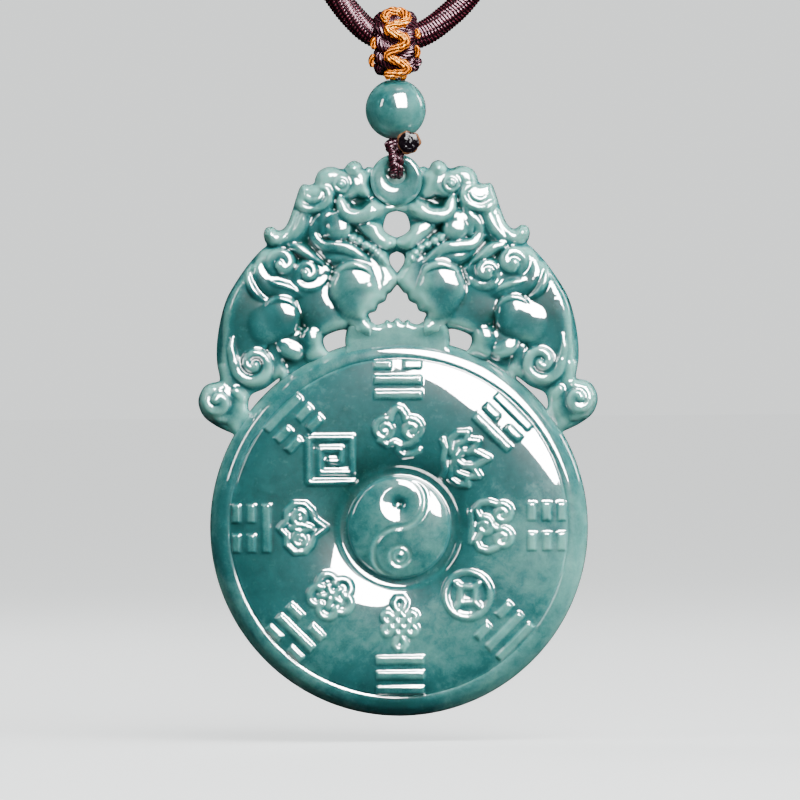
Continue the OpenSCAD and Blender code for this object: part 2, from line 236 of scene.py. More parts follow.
def wound_strand(path, radius, pitch, sides, rib, closed=False, lobes=0, lobe=0.0):
    """A strand of thread wound round a path as a helix of small ridges. Its ends are domed.

    It may have lobes instead, plies twisted into it that each stand out by the share lobe."""
    run = lengths_along(path)
    total = run[-1]
    windings = max(4, round(total / pitch))
    rings = 2 * windings
    side, up = path_frames(path, closed)
    form = bmesh.new()
    weave = form.loops.layers.uv.new("weave")
    bmesh.ops.create_grid(form, x_segments=rings, y_segments=sides, size=1)
    start = np.array([dot.co for dot in form.verts])
    i = np.rint((start[:, 0] + 1) / 2 * rings).astype(int)
    j = np.rint((start[:, 1] + 1) / 2 * sides).astype(int)
    turn = 2 * np.pi * j / sides
    lean = 0 if lobes else j / sides
    laid = (i / 2 + lean) * total / windings
    if closed:
        along = laid % total
        width = np.full(len(i), 1.0)
    else:
        along = np.clip(laid, 0, total)
        along = np.where(i == 0, 0, np.where(i == rings, total, along))
        to_end = np.minimum(along, total - along) / np.min(radius)
        width = np.sqrt(np.clip(1 - (1 - np.minimum(to_end, 1)) ** 2, 0, 1))
        width = np.where((i == 0) | (i == rings), 0, np.maximum(width, 0.05))
    reach = np.interp(along, run, radius) if np.ndim(radius) else radius
    if lobes:
        ridge = 1 + lobe * np.abs(np.cos(lobes / 2 * (turn + 2 * np.pi * along / (lobes * pitch * 2))))
    else:
        ridge = 1 + np.where(i % 2 == 0, rib, -rib) / reach
    reach = reach * width * ridge

    def at(rows):
        return np.stack([np.interp(along, run, rows[:, k]) for k in range(3)], axis=1)

    places = at(path)
    places = places + unit_rows(at(side)) * (reach * np.cos(turn))[:, None]
    places = places + unit_rows(at(up)) * (reach * np.sin(turn))[:, None]
    for dot, place in zip(form.verts, places):
        dot.co = place
    across = np.max(radius) * 2 * np.pi / mm
    uv_of = np.stack([laid / mm, j / sides * across], axis=1)
    form.verts.index_update()
    for face in form.faces:
        for corner in face.loops:
            corner[weave].uv = uv_of[corner.vert.index]
    bmesh.ops.remove_doubles(form, verts=form.verts[:], dist=weld)
    bmesh.ops.holes_fill(form, edges=[edge for edge in form.edges if edge.is_boundary], sides=0)
    bmesh.ops.recalc_face_normals(form, faces=form.faces[:])
    return form


def joined(forms):
    """Several forms as one, which keeps their weave."""
    whole = bmesh.new()
    for form in forms:
        mesh = bpy.data.meshes.new("part")
        form.to_mesh(mesh)
        form.free()
        whole.from_mesh(mesh)
        bpy.data.meshes.remove(mesh)
    return whole


def set_piece(form, name, material, body, slot, *nodes):
    """Makes a form a finished piece that rides on a body and stands for CAD nodes."""
    piece = placed(form, name, material)
    piece.data.shade_smooth()
    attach(piece, body)
    if nodes:
        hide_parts(*nodes)
    return piece


def combined(material, how, first, second, third=0.0):
    """One value worked out from two or three."""
    return add_node(material, "Math", {0: first, 1: second, 2: third}, operation=how).outputs["Value"]


def tones(material, level, first, last, *between):
    """A colour for each level, blended between stops of a place and a colour."""
    ramp = add_node(material, "ValToRGB", {"Fac": level})
    for stop, (place, colour) in zip(list(ramp.color_ramp.elements), (first, last)):
        stop.position = place
        stop.color = (*colour, 1)
    for place, colour in between:
        ramp.color_ramp.elements.new(place).color = (*colour, 1)
    return ramp.outputs["Color"]


def thread_finish(
    name, dark, light, ply, lean, roughness, bump, beads=0.0, woven=True, gloss=0.5, tint=(1, 1, 1)
):
    """Shiny thread: plies as fine slanted ridges along the weave, with painted shade darkening the colour
    between them.

    beads breaks the ridges up into small beads by that share. woven follows the piece's weave,
    and otherwise the thread is laid on the piece's own millimetres."""
    thread, shader = paint(name, dark, roughness)
    if woven:
        spot = add_node(thread, "UVMap", {}, uv_map="weave").outputs["UV"]
    else:
        spot = add_node(thread, "Mapping", {
            "Vector": add_node(thread, "TexCoord", {}).outputs["Object"],
            "Rotation": (0, math.radians(90), 0),
            "Scale": (1 / mm, 1 / mm, 1 / mm),
        }).outputs["Vector"]

    def ridged(turn, scale, distortion, detail_scale):
        """Parallel ridges at a turn to the weave."""
        lay = add_node(thread, "Mapping", {"Vector": spot, "Rotation": (0, 0, math.radians(turn))})
        return add_node(thread, "TexWave", {
            "Vector": lay.outputs["Vector"],
            "Scale": scale,
            "Distortion": distortion,
            "Detail": 2,
            "Detail Scale": detail_scale,
        }, bands_direction="X").outputs["Fac"]

    ridges = ridged(lean, ply, 0.6, 2)
    if beads:
        kept = combined(thread, "MULTIPLY_ADD", ridged(lean + 78, ply * 0.62, 1.4, 1.5), beads, 1 - beads)
        ridges = combined(thread, "MULTIPLY", ridges, kept)
    fuzz = add_node(thread, "TexNoise", {"Vector": spot, "Scale": 3, "Detail": 5}).outputs["Fac"]
    # Painted shade: the colour is darker between the plies and beads and lighter on their tops
    shade = combined(thread, "MULTIPLY", ridges, fuzz)
    raised = add_node(thread, "Bump", {"Height": ridges, "Strength": bump, "Distance": 0.09 * mm})
    plug(thread, shader, {
        "Base Color": tones(thread, shade, (0.12, dark), (0.5, light)),
        "Normal": raised.outputs["Normal"],
        "Specular IOR Level": gloss,
        "Specular Tint": (*tint, 1),
    })
    return thread


maroon_look = {
    "dark": (0.002, 0.0004, 0.001),
    "light": (0.035, 0.0045, 0.01),
    "ply": 1.1,
    "lean": 38,
    "roughness": 0.26,
    "bump": 0.9,
}
cord_shine = {"gloss": 0.15, "tint": (1, 0.62, 0.72)}
maroon_thread = thread_finish("maroon_thread", **maroon_look, **cord_shine)
beaded_thread = thread_finish(
    "beaded_thread", (0.003, 0.0005, 0.001), (0.1, 0.014, 0.027),
    ply=0.924, lean=2.2, roughness=0.24, bump=1.0, beads=0.75, **cord_shine,
)

neck_path = smooth_path([[c * mm for c in point] for point in cord_route], 8, closed=True)
neck_loop = wound_strand(neck_path, neck_cord_r - rib, winding, 22, rib, closed=True)
set_piece(neck_loop, "neck_cord_wound", beaded_thread, "cords", "cord", "neck_cord")

# The sleeve at the nape hides the joint of the cord's two ends. It is the same thread, wound on
# in one more layer, and its ends taper down to the cord.
sleeve_half = 7 * mm
sleeve_middle_r = 2.3 * mm
sleeve_taper = 0.75 * mm
sleeve_path = neck_path[np.argsort(neck_path[:, 0])]
sleeve_path = sleeve_path[(sleeve_path[:, 1] > -1 * mm) & (np.abs(sleeve_path[:, 0]) < 6.6 * mm)]
sleeve_path = np.concatenate([
    [(-sleeve_half, *sleeve_path[0, 1:])],
    sleeve_path,
    [(sleeve_half, *sleeve_path[-1, 1:])],
])
sleeve_run = np.abs(sleeve_path[:, 0]) / sleeve_half
sleeve_r = sleeve_middle_r - sleeve_taper * np.clip((sleeve_run - 0.8) / 0.2, 0, 1) ** 2
sleeve = wound_strand(sleeve_path, sleeve_r, 0.24 * mm, 24, 0.03 * mm)
set_piece(sleeve, "nape_sleeve_wound", maroon_thread, "cords", "cord", "nape_sleeve")

# The bail is a flat plait of three maroon cords. It runs up the front, over the neck cord and
# down the back, and its two legs close on the bead's cord. A small hitch sits on its right.
bail_low = -225 * mm
bail_r = 2.8 * mm
bail_drop = 4.1 * mm
bail_foot = 1.5 * mm
plait_r = 0.72 * mm
plait_swing = 1.62 * mm
plait_weave = 0.3 * mm
plait_pitch = 4.4 * mm


def bail_half(z, proud=0.0):
    """Half the bail's depth at a height over the neck cord's middle, and what stands proud of it."""
    above = np.sqrt(np.maximum((bail_r + proud) ** 2 - z**2, 0))
    below = bail_r - (bail_r - bail_foot) * np.clip(-z / bail_drop, 0, 1) ** 1.5
    return np.where(z >= 0, above, below + proud)


sunk = plait_r * 0.95
leg_z = np.linspace(-bail_drop + plait_r, 0, 24)
arch = np.radians(np.linspace(0, 180, 40))[1:-1]
strap_line = np.concatenate([
    np.stack([-(bail_half(leg_z) - sunk), leg_z], axis=1),
    np.stack([-(bail_r - sunk) * np.cos(arch), (bail_r - sunk) * np.sin(arch)], axis=1),
    np.stack([bail_half(leg_z) - sunk, leg_z], axis=1)[::-1],
])
strap_run = lengths_along(strap_line)
strap_ahead = unit_rows(np.gradient(strap_line, axis=0))
strands = []
for ply in range(3):
    phase = 2 * np.pi * (strap_run / plait_pitch + ply / 3)
    lift = plait_weave * np.sin(2 * phase)
    line = dots_of(
        plait_swing * np.sin(phase),
        pendant_y + strap_line[:, 0] - strap_ahead[:, 1] * lift,
        bail_low + strap_line[:, 1] + strap_ahead[:, 0] * lift,
    )
    strands.append(wound_strand(line, plait_r, 0.3 * mm, 12, 0.035 * mm))
hitch_turn = np.linspace(0, 2 * np.pi, 49)
hitch = dots_of(
    2.02 * mm + 0.2 * mm * (np.sin(hitch_turn) + 2 * np.sin(2 * hitch_turn)),
    pendant_y - 1.85 * mm - 0.24 * mm * np.sin(3 * hitch_turn),
    bail_low - 2.6 * mm + 0.2 * mm * (np.cos(hitch_turn) - 2 * np.cos(2 * hitch_turn)),
)
strands.append(wound_strand(hitch, 0.27 * mm, 0.22 * mm, 8, 0.025 * mm, closed=True))
for side in (-1, 1):
    core = dots_of(
        side * 0.95 * mm, pendant_y + strap_line[:, 0] * 0.96, bail_low + strap_line[:, 1] * 0.96
    )
    strands.append(wound_strand(core, 0.62 * mm, 0.3 * mm, 8, 0.03 * mm))
set_piece(joined(strands), "bail_plait", maroon_thread, "cords", "braid", "bail_wrap")

# The gold thread is a fat three-ply silk cord. It is laced in a zigzag down the front of the
# bail and again down its back, and short bights of it show at the bail's sides.
gold_r = 0.4 * mm
gold_zigzag = [
    (-0.5, -0.93), (-0.1, -0.9), (0.35, -0.84), (0.5, -0.72), (0.2, -0.6), (-0.2, -0.5),
    (-0.33, -0.42), (-0.1, -0.3), (0.3, -0.19), (0.47, -0.06), (0.3, 0.08), (-0.05, 0.2),
    (-0.34, 0.36), (-0.1, 0.5), (0.3, 0.6), (0.5, 0.74), (0.4, 0.95), (0.04, 1.07), (-0.3, 1.0),
    (-0.42, 0.8), (-0.25, 0.68),
]
side_bights = [(-0.86, -0.1), (-0.93, -0.55), (0.88, 0.2), (0.87, -0.33)]
bail_half_width = 2.5 * mm


def laced(points, front):
    """The path of a gold lacing on the bail's front, -1, or back, 1."""
    line = smooth_path(points, 6)
    z = np.where(line[:, 1] < 0, line[:, 1] * bail_drop, line[:, 1] * bail_r)
    proud = gold_r * 0.62
    bulge = 0.35 * mm * (line[:, 0] / 1.1) ** 2
    return dots_of(
        line[:, 0] * bail_half_width,
        pendant_y + front * (bail_half(np.minimum(z, bail_r), proud) - bulge),
        bail_low + np.minimum(z, bail_r + proud * 0.6),
    )


lacings = [(laced(gold_zigzag, -1), 0.96), (laced([(-x, z) for x, z in gold_zigzag], 1), 0.96)]
for x, z in side_bights:
    bight = [(x * 0.97, z + 0.17), (x * 1.08, z + 0.06), (x * 1.1, z - 0.06), (x, z - 0.17)]
    lacings.append((laced(bight, -1), 0.55))
gold_strands = [
    wound_strand(line, gold_r * share, 0.42 * mm, 24, 0, lobes=3, lobe=0.42) for line, share in lacings
]
gold_silk = thread_finish(
    "gold_silk", (0.06, 0.009, 0.001), (0.95, 0.25, 0.004),
    ply=1.0, lean=78, roughness=0.22, bump=0.9, gloss=0.2, tint=(1, 0.6, 0.16),
)
set_piece(joined(gold_strands), "gold_lacing", gold_silk, "cords", "gold_thread", "gold_thread")

# The bead's cord runs hidden through the bead, from the bail's foot to the knot. It keeps its
# shape from the construction and is the same maroon thread, twisted.
hidden_maroon = thread_finish("hidden_maroon", **maroon_look, woven=False)
hidden_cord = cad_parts["bead_cord"]
hidden_cord.data.materials.clear()
hidden_cord.data.materials.append(hidden_maroon)

# The knot under the bead closes the hanging loop: one turn of the braided cord pulled tight,
# with its two ends tucked under. The loop is doubled through the coin's hole, front to back.
knot_z = -236.25 * mm
hole_z = -239.25 * mm
loop_reach = 2.55 * mm
loop_rise = knot_z - hole_z
braid_pitch = 2.6 * mm
fine_winding = 0.22 * mm
fine_rib = 0.03 * mm
loop_half = [
    (0, 0), (0.5, 0), (0.84, 0.08), (1, 0.31), (0.99, 0.58), (0.86, 0.84), (0.62, 1.0), (0.3, 1.1),
    (0.1, 1.12),
]
loop_line = [(0, y * loop_reach, z * loop_rise) for y, z in loop_half[:0:-1]]
loop_line += [(0, -y * loop_reach, z * loop_rise) for y, z in loop_half]
loop_mid = smooth_path(loop_line, 8) + np.array([0, pendant_y, hole_z])
loop_run = lengths_along(loop_mid)
loop_out = np.cross(unit_rows(np.gradient(loop_mid, axis=0)), (1, 0, 0))
loop_strands = []
for ply in range(3):
    phase = 2 * np.pi * (loop_run / braid_pitch + ply / 3)
    spread = (0.4 + 0.17 * np.clip((loop_mid[:, 2] - hole_z) / loop_rise, 0, 1)) * mm
    line = loop_mid + dots_of(spread * np.sin(phase), 0, 0)
    line = line + loop_out * (0.16 * mm * np.sin(2 * phase))[:, None]
    loop_strands.append(wound_strand(line, 0.36 * mm, fine_winding, 10, fine_rib))
set_piece(joined(loop_strands), "hanging_loop_braid", maroon_thread, "cords", "cord", "hanging_loop")


def off_knot(dots):
    """Places in the scene from millimetres off the knot's middle."""
    return [(x * mm, pendant_y + y * mm, knot_z + z * mm) for x, y, z in dots]


wrap_turn = np.linspace(0, 2 * np.pi, 41)
wraps = []
for lift, lean, reach in ((0.4, 0.1, 0.8), (0.06, -0.12, 0.88), (-0.27, 0.03, 0.78)):
    wrap = dots_of(
        reach * mm * np.cos(wrap_turn),
        pendant_y + reach * mm * np.sin(wrap_turn),
        knot_z + lift * mm + lean * mm * np.cos(wrap_turn + 0.6),
    )
    wraps.append(wound_strand(wrap, 0.33 * mm, fine_winding, 10, fine_rib, closed=True))
tucked = [(-0.8, -0.5, 0.35), (-0.95, -0.75, 0.1), (-0.6, -1.0, -0.16), (-0.1, -0.95, -0.3)]
wraps.append(wound_strand(smooth_path(off_knot(tucked), 8), 0.3 * mm, fine_winding, 10, fine_rib))
set_piece(joined(wraps), "loop_knot_wraps", maroon_thread, "cords", "cord", "loop_knot")

# The knot's cut end is burnt with a flame into a dark glassy button, with a scorched brown rim
# and a few threads left at its edge. Its stub comes out of the knot on the right.
melt_middle = Vector((1.35 * mm, pendant_y - 3.6 * mm, knot_z + 0.3 * mm))
melt_r = 1.25 * mm
button = bmesh.new()
bmesh.ops.create_uvsphere(button, u_segments=64, v_segments=40, radius=1)
for dot in button.verts:
    x, y, z = dot.co.x, dot.co.y, dot.co.z
    turn = math.atan2(z, x)
    out = math.hypot(x, z)
    rim = 1 + 0.06 * math.sin(3 * turn + 0.7) + 0.045 * math.sin(7 * turn + 2) * out
    dish = 0.2 * math.exp(-((out / 0.6) ** 2)) + 0.07 * math.sin(9 * turn) * out**3
    lump = 0.03 * math.sin(6 * x + 1) * math.sin(7 * z + 2) * (1 - out**2)
    depth = y * (0.42 if y > 0 else 0.44 - 0.42 * dish + lump)
    dot.co = melt_middle + Vector((x * rim * melt_r, depth * melt_r, z * rim * melt_r * 0.98))
bmesh.ops.recalc_face_normals(button, faces=button.faces[:])
melt_stub = [(1.5, -0.1, 0), (1.8, -0.8, 0.1), (1.75, -1.7, 0.2), (1.5, -2.6, 0.28), (1.35, -3.3, 0.3)]
stub = wound_strand(smooth_path(off_knot(melt_stub), 8), 0.5 * mm, fine_winding, 12, fine_rib)

melt_glass, melt_shader = paint("melted_nylon", (0.02, 0.01, 0.012), 0.09)
melt_spot = add_node(melt_glass, "Mapping", {
    "Vector": add_node(melt_glass, "TexCoord", {}).outputs["Object"],
    "Location": tuple(-c / melt_r for c in melt_middle),
    "Scale": (1 / melt_r, 1 / melt_r, 1 / melt_r),
}).outputs["Vector"]
melt_apart = add_node(melt_glass, "SeparateXYZ", {"Vector": melt_spot})
melt_flat = add_node(melt_glass, "CombineXYZ", {
    "X": melt_apart.outputs["X"],
    "Y": melt_apart.outputs["Z"],
})
melt_out = add_node(melt_glass, "VectorMath", {0: melt_flat.outputs["Vector"]}, operation="LENGTH")
melt_grain = add_node(melt_glass, "TexNoise", {
    "Vector": melt_spot,
    "Scale": 2.4,
    "Detail": 3,
}).outputs["Fac"]
melt_edge = combined(melt_glass, "MULTIPLY_ADD", melt_grain, 0.2, melt_out.outputs["Value"])
melt_bump = add_node(melt_glass, "Bump", {
    "Height": melt_grain,
    "Strength": 0.9,
    "Distance": 0.12 * mm,
})
melt_tones = (0.97, (0.003, 0.002, 0.003)), (1.0, (0.13, 0.055, 0.027))
plug(melt_glass, melt_shader, {
    "Base Color": tones(melt_glass, melt_edge, *melt_tones),
    "Normal": melt_bump.outputs["Normal"],
    "Specular IOR Level": 0.05,
})
set_piece(joined([button, stub]), "melted_end", melt_glass, "cords", "melted_end", "cord_end")

# The bead is turned from the same jade and polished, with a drilled bore whose mouths are
# eased, so that they don't cut the cord.
bead_r = 3.2 * mm
bead_bore_r = 0.75 * mm
bead_middle = Vector((0, pendant_y, -232.35 * mm))


def jade_finish(name, thin, middle, thick, polish):
    """Jadeite: milky and pale where thin, deeper where thick, clouded and flecked. Its level named thick
    also carries painted shade and painted light laid on by some pieces.
    """
    stone, shader = paint(name, middle, 0.3)
    spot = add_node(stone, "TexCoord", {}).outputs["Object"]

    def clouded(scale, detail, roughness, distortion):
        """A cloud pattern fixed to the stone, with so many clouds to a millimetre."""
        return add_node(stone, "TexNoise", {
            "Vector": spot,
            "Scale": scale / mm,
            "Detail": detail,
            "Roughness": roughness,
            "Distortion": distortion,
        }).outputs["Fac"]

    # The thick level is each piece's tint: the stone's depth and clouding, and on the disc and lions also
    # painted shade in hollows, painted light on raised parts and a painted glow at thin edges
    depth = add_node(stone, "Attribute", {}, attribute_name="thick").outputs["Fac"]
    total = combined(stone, "MULTIPLY_ADD", depth, 0.5, -0.13)
    total = combined(stone, "MULTIPLY_ADD", clouded(0.11, 5, 0.6, 0.8), 0.52, total)
    total = combined(stone, "MULTIPLY_ADD", clouded(0.75, 4, 0.72, 0.3), 0.31, total)
    # Small whitish flecks, as of cotton, lie in the stone
    flecks = clouded(1.5, 2, 0.5, 0)
    body = add_node(stone, "Mix", {
        "Factor": tones(stone, flecks, (0.6, (0, 0, 0)), (0.78, (0.09, 0.09, 0.09))),
        "A": tones(stone, total, (0.2, thin), (0.9, thick), (0.55, middle)),
        "B": (0.14, 0.38, 0.34, 1),
    }, data_type="RGBA")
    plug(stone, shader, {
        "Base Color": body.outputs["Result"],
        "Subsurface Weight": 0.85,
        "Subsurface Radius": (0.55, 1.0, 0.95),
        "Subsurface Scale": 1.0 * mm,
        "Subsurface Anisotropy": 0.3,
        "IOR": 1.66,
        "Specular IOR Level": 0.02,
        "Coat Weight": polish,
        "Coat Roughness": 0.025,
        "Coat IOR": 1.7,
    })
    return stone


def set_tint_and_painted_light(piece, tint_levels):
    """Notes a tint level at each of a piece's points, for its colour: how thick the stone counts as there,
    and on some pieces painted shade and painted light.
    """
    thick = piece.data.attributes.new("thick", "FLOAT", "POINT")
    thick.data.foreach_set("value", tint_levels.astype(np.float32))


def lathed(outline, middle, axis, steps, seam):
    """A closed outline turned once round, and closed at its seam."""
    form = bmesh.new()
    dots = [form.verts.new(dot) for dot in outline]
    edges = [form.edges.new(pair) for pair in zip(dots, dots[1:] + dots[:1])]
    bmesh.ops.spin(
        form, geom=dots + edges, cent=middle, axis=axis, angle=2 * math.pi, steps=steps,
        use_merge=True, use_duplicate=False,
    )
    bmesh.ops.remove_doubles(form, verts=form.verts[:], dist=seam)
    bmesh.ops.recalc_face_normals(form, faces=form.faces[:])
    return form


jade_tones = (0.12, 0.29, 0.255), (0.01, 0.08, 0.081), (0.0, 0.024, 0.02)
jade = jade_finish("carved_jade", *jade_tones, 1.0)

bead_start = math.asin(bead_bore_r / bead_r)
bead_flat = bead_r * math.cos(bead_start)
bead_mouth = [
    (bead_bore_r, bead_flat * 0.4),
    (bead_bore_r, bead_flat * 0.93),
    (bead_bore_r * 1.05, bead_flat * 0.975),
]
bead_turns = np.linspace(bead_start * 1.18, math.pi - bead_start * 1.18, 49)
bead_line = bead_mouth + [(bead_r * math.sin(turn), bead_r * math.cos(turn)) for turn in bead_turns]
bead_line += [(r, -z) for r, z in bead_mouth[::-1]]
bead_outline = [bead_middle + Vector((r, 0, z)) for r, z in bead_line]
bead = lathed(bead_outline, bead_middle, (0, 0, 1), 96, weld)
bead_piece = set_piece(bead, "jade_bead_turned", jade, "cords", "jade", "jade_bead")
set_tint_and_painted_light(bead_piece, np.full(len(bead_piece.data.vertices), 0.3))

# The round disc of the pendant, ground flat and then carved. Its face is a low cushion inside
# a raised rim, round a moat with a domed taiji boss. The bars of the eight trigrams and eight
# traditional ornaments stand proud of the cushion, with soft polished edges.
disc_r = 20.0
disc_front = 3.0
disc_back = 2.4
disc_middle = Vector((0, pendant_y, -276.55 * mm))
boss_r = 5.45
trigrams = [
    (0, 0, 0), (1, 0, 1), (1, 1, 0), (0, 0, 1), (1, 0, 0), (0, 1, 0), (1, 1, 1), (0, 1, 1),
]
bar_rows = (14.0, 15.6, 17.2)
bar_half_length = 2.55
bar_half_width = 0.43
bar_gap_half = 0.62
bar_proud = 0.34
ornament_proud = 0.36
stroke_half_width = 0.46
taiji_pit = (0, boss_r / 2 - 0.2)
taiji_eye = (0.1, -boss_r / 2 - 0.25)
# The face from its middle outwards: shares of the disc's radius and of its front height
boss_and_moat = [
    (0, 1.1), (0.1, 1.08), (0.19, 1.0), (0.25, 0.86), (0.263, 0.785), (0.27, 0.7), (0.274, 0.61),
    (0.277, 0.6), (0.297, 0.6), (0.313, 0.63), (0.33, 0.735),
]
cushion = [
    (0.35, 0.81), (0.39, 0.885), (0.45, 0.955), (0.53, 0.995), (0.6, 1), (0.7, 0.982), (0.78, 0.935),
    (0.83, 0.875), (0.87, 0.79),
]
fine_line_and_rim = [
    (0.886, 0.75), (0.894, 0.69), (0.902, 0.73), (0.925, 0.715), (0.955, 0.6), (0.975, 0.44),
]
face_line = smooth_path(boss_and_moat + cushion + fine_line_and_rim, 6)


def ring(x, z, r, start=0, end=360, count=24):
    """Points of a circle or of an arc of it, anticlockwise from the right."""
    turns = [math.radians(start + (end - start) * i / count) for i in range(count + 1)]
    return [(x + r * math.cos(t), z + r * math.sin(t)) for t in turns]


def scroll(x, z, r, end_r, start, turns, count=22):
    """Points of a scroll that winds in to its eye."""
    dots = []
    for i in range(count + 1):
        share = i / count
        turn = math.radians(start + 360 * turns * share)
        reach = r + (end_r - r) * share
        dots.append((x + reach * math.cos(turn), z + reach * math.sin(turn)))
    return dots


def both_sides(lines):
    """Strokes and their mirror images."""
    return lines + [[(-x, z) for x, z in line] for line in lines]


cloud = both_sides([
    scroll(-1.4, 0.15, 1.25, 0.2, 60, 1.6),
    [(-0.78, 1.23), (-0.75, 1.75), (-0.35, 2.3), (0, 2.45)],
]) + [
    [(-2.0, -0.95), (-1.2, -1.45), (-0.4, -1.25), (0.3, -1.6), (1.2, -1.35), (1.9, -0.9)],
    [(0.1, -1.55), (-0.1, -2.1), (0.5, -2.6), (1.5, -2.5), (2.2, -2.1)],
]
fret = [
    [
        (-2.4, 2.3), (2.3, 2.3), (2.3, -2.3), (-1.35, -2.3), (-1.35, 1.1), (1.1, 1.1), (1.1, -1.1),
        (-0.15, -1.1), (-0.15, 0.1),
    ],
    [(-2.4, 2.3), (-2.4, -2.5)],
]


def turned(lines, degrees):
    """Strokes turned anticlockwise."""
    c, s = math.cos(math.radians(degrees)), math.sin(math.radians(degrees))
    return [[(x * c - z * s, x * s + z * c) for x, z in line] for line in lines]


knot_upright = [(-0.85, -1.4), (-0.85, 1.4)]
knot_upright += ring(-0.425, 1.4, 0.425, 180, 0, 8) + [(0, -1.4)] + ring(0.425, -1.4, 0.425, 180, 360, 8)
knot_upright += [(0.85, 1.4), (1.15, 2.0), (1.7, 2.1), (2.1, 1.7), (2.0, 1.15), (1.4, 0.85)]
knot_level = [(1.4, 0.85), (-1.4, 0.85)]
knot_level += ring(-1.4, 0.425, 0.425, 90, 270, 8) + [(1.4, 0)] + ring(1.4, -0.425, 0.425, 90, -90, 8)
knot_level += [(-1.4, -0.85), (-2.0, -1.15), (-2.1, -1.7), (-1.7, -2.1), (-1.15, -2.0), (-0.85, -1.4)]
knot_work = turned([knot_upright, knot_level], 45)
lotus = both_sides([
    [(-0.3, -1.35), (-1.5, -1.0), (-1.95, 0.2), (-1.85, 1.3), (-1.1, 0.75), (-0.7, 0.1)],
    [(-0.6, -1.6), (-2.1, -1.75), (-2.75, -0.9), (-2.8, 0.15), (-2.0, 0.0)],
    [(-1.9, -2.5), (-1.1, -2.2), (0, -2.45)],
]) + [[(0, -1.3), (-0.75, -0.3), (-0.75, 0.9), (0, 2.3), (0.75, 0.9), (0.75, -0.3), (0, -1.3)]]
coin_sign = [
    ring(0, 0, 2.4),
    [(-0.8, -0.8), (0.8, -0.8), (0.8, 0.8), (-0.8, 0.8), (-0.8, -0.8)],
]
for quarter in range(4):
    coin_sign += turned([[(0, 1.3), (0, 1.75)]], 45 + 90 * quarter)
wave = [
    scroll(-1.35, 0.75, 1.1, 0.2, -150, -1.5),
    scroll(1.25, 0.75, 1.1, 0.2, -150, -1.5),
    scroll(-0.05, -1.15, 1.0, 0.2, -150, -1.4),
    [(-2.3, 0.2), (-2.6, -0.6), (-2.5, -1.5), (-1.9, -2.1), (-1.0, -1.65)],
    [(0.3, 0.2), (0.0, -0.15)],
    [(0.8, -1.6), (1.5, -2.1), (2.3, -1.7), (2.6, -0.8), (2.2, 0.2)],
    [(-1.6, -2.6), (0, -2.45), (1.6, -2.6)],
]
blossom = [ring(0, 0, 0.33, count=10)]
for petal in range(5):
    blossom += turned([ring(0, 1.38, 0.98, -22, 202, 14), [(0, 0.6), (0, 1.15)]], 72 * petal)
sceptre = both_sides([
    [
        (0, 2.45), (-0.75, 1.75), (-1.75, 1.7), (-2.55, 0.9), (-2.5, -0.2), (-1.8, -0.9),
        (-0.9, -1.2), (0, -2.4),
    ],
    scroll(-1.2, 0.25, 0.85, 0.15, 30, 1.3),
    [(0, 1.3), (-0.35, 0.2), (0, -0.9)],
])
# Anticlockwise from the right, as the trigrams are
ornaments = [wave, lotus, cloud, fret, sceptre, blossom, knot_work, coin_sign]
ornament_out = 10.15
ornament_turns = (0, -45, 0, 45, 0, -45, 0, 45)


def near_strokes(x, z, lines, reach):
    """Each place's distance to the nearest of some strokes, in mm, up to a reach."""
    nearest = np.full(len(x), float(reach))
    for line in lines:
        dots = np.array(line, float)
        low, high = dots.min(0) - reach, dots.max(0) + reach
        spots = np.nonzero((x > low[0]) & (x < high[0]) & (z > low[1]) & (z < high[1]))[0]
        px, pz = x[spots], z[spots]
        found = nearest[spots]
        for (ax, az), (bx, bz) in zip(dots, dots[1:]):
            dx, dz = bx - ax, bz - az
            t = np.clip(((px - ax) * dx + (pz - az) * dz) / max(dx * dx + dz * dz, 1e-9), 0, 1)
            found = np.minimum(found, np.hypot(px - ax - t * dx, pz - az - t * dz))
        nearest[spots] = found
    return nearest


def soft_step(value):
    """0 below 0, 1 above 1 and a smooth rise between."""
    value = np.clip(value, 0, 1)
    return value * value * (3 - 2 * value)


def bell(far, width):
    """1 at nothing and fading away over a width."""
    return np.exp(-((far / width) ** 2))


taiji_curve = ring(0, boss_r / 2, boss_r / 2, 90, -90, 20) + ring(0, -boss_r / 2, boss_r / 2, 90, 270, 20)


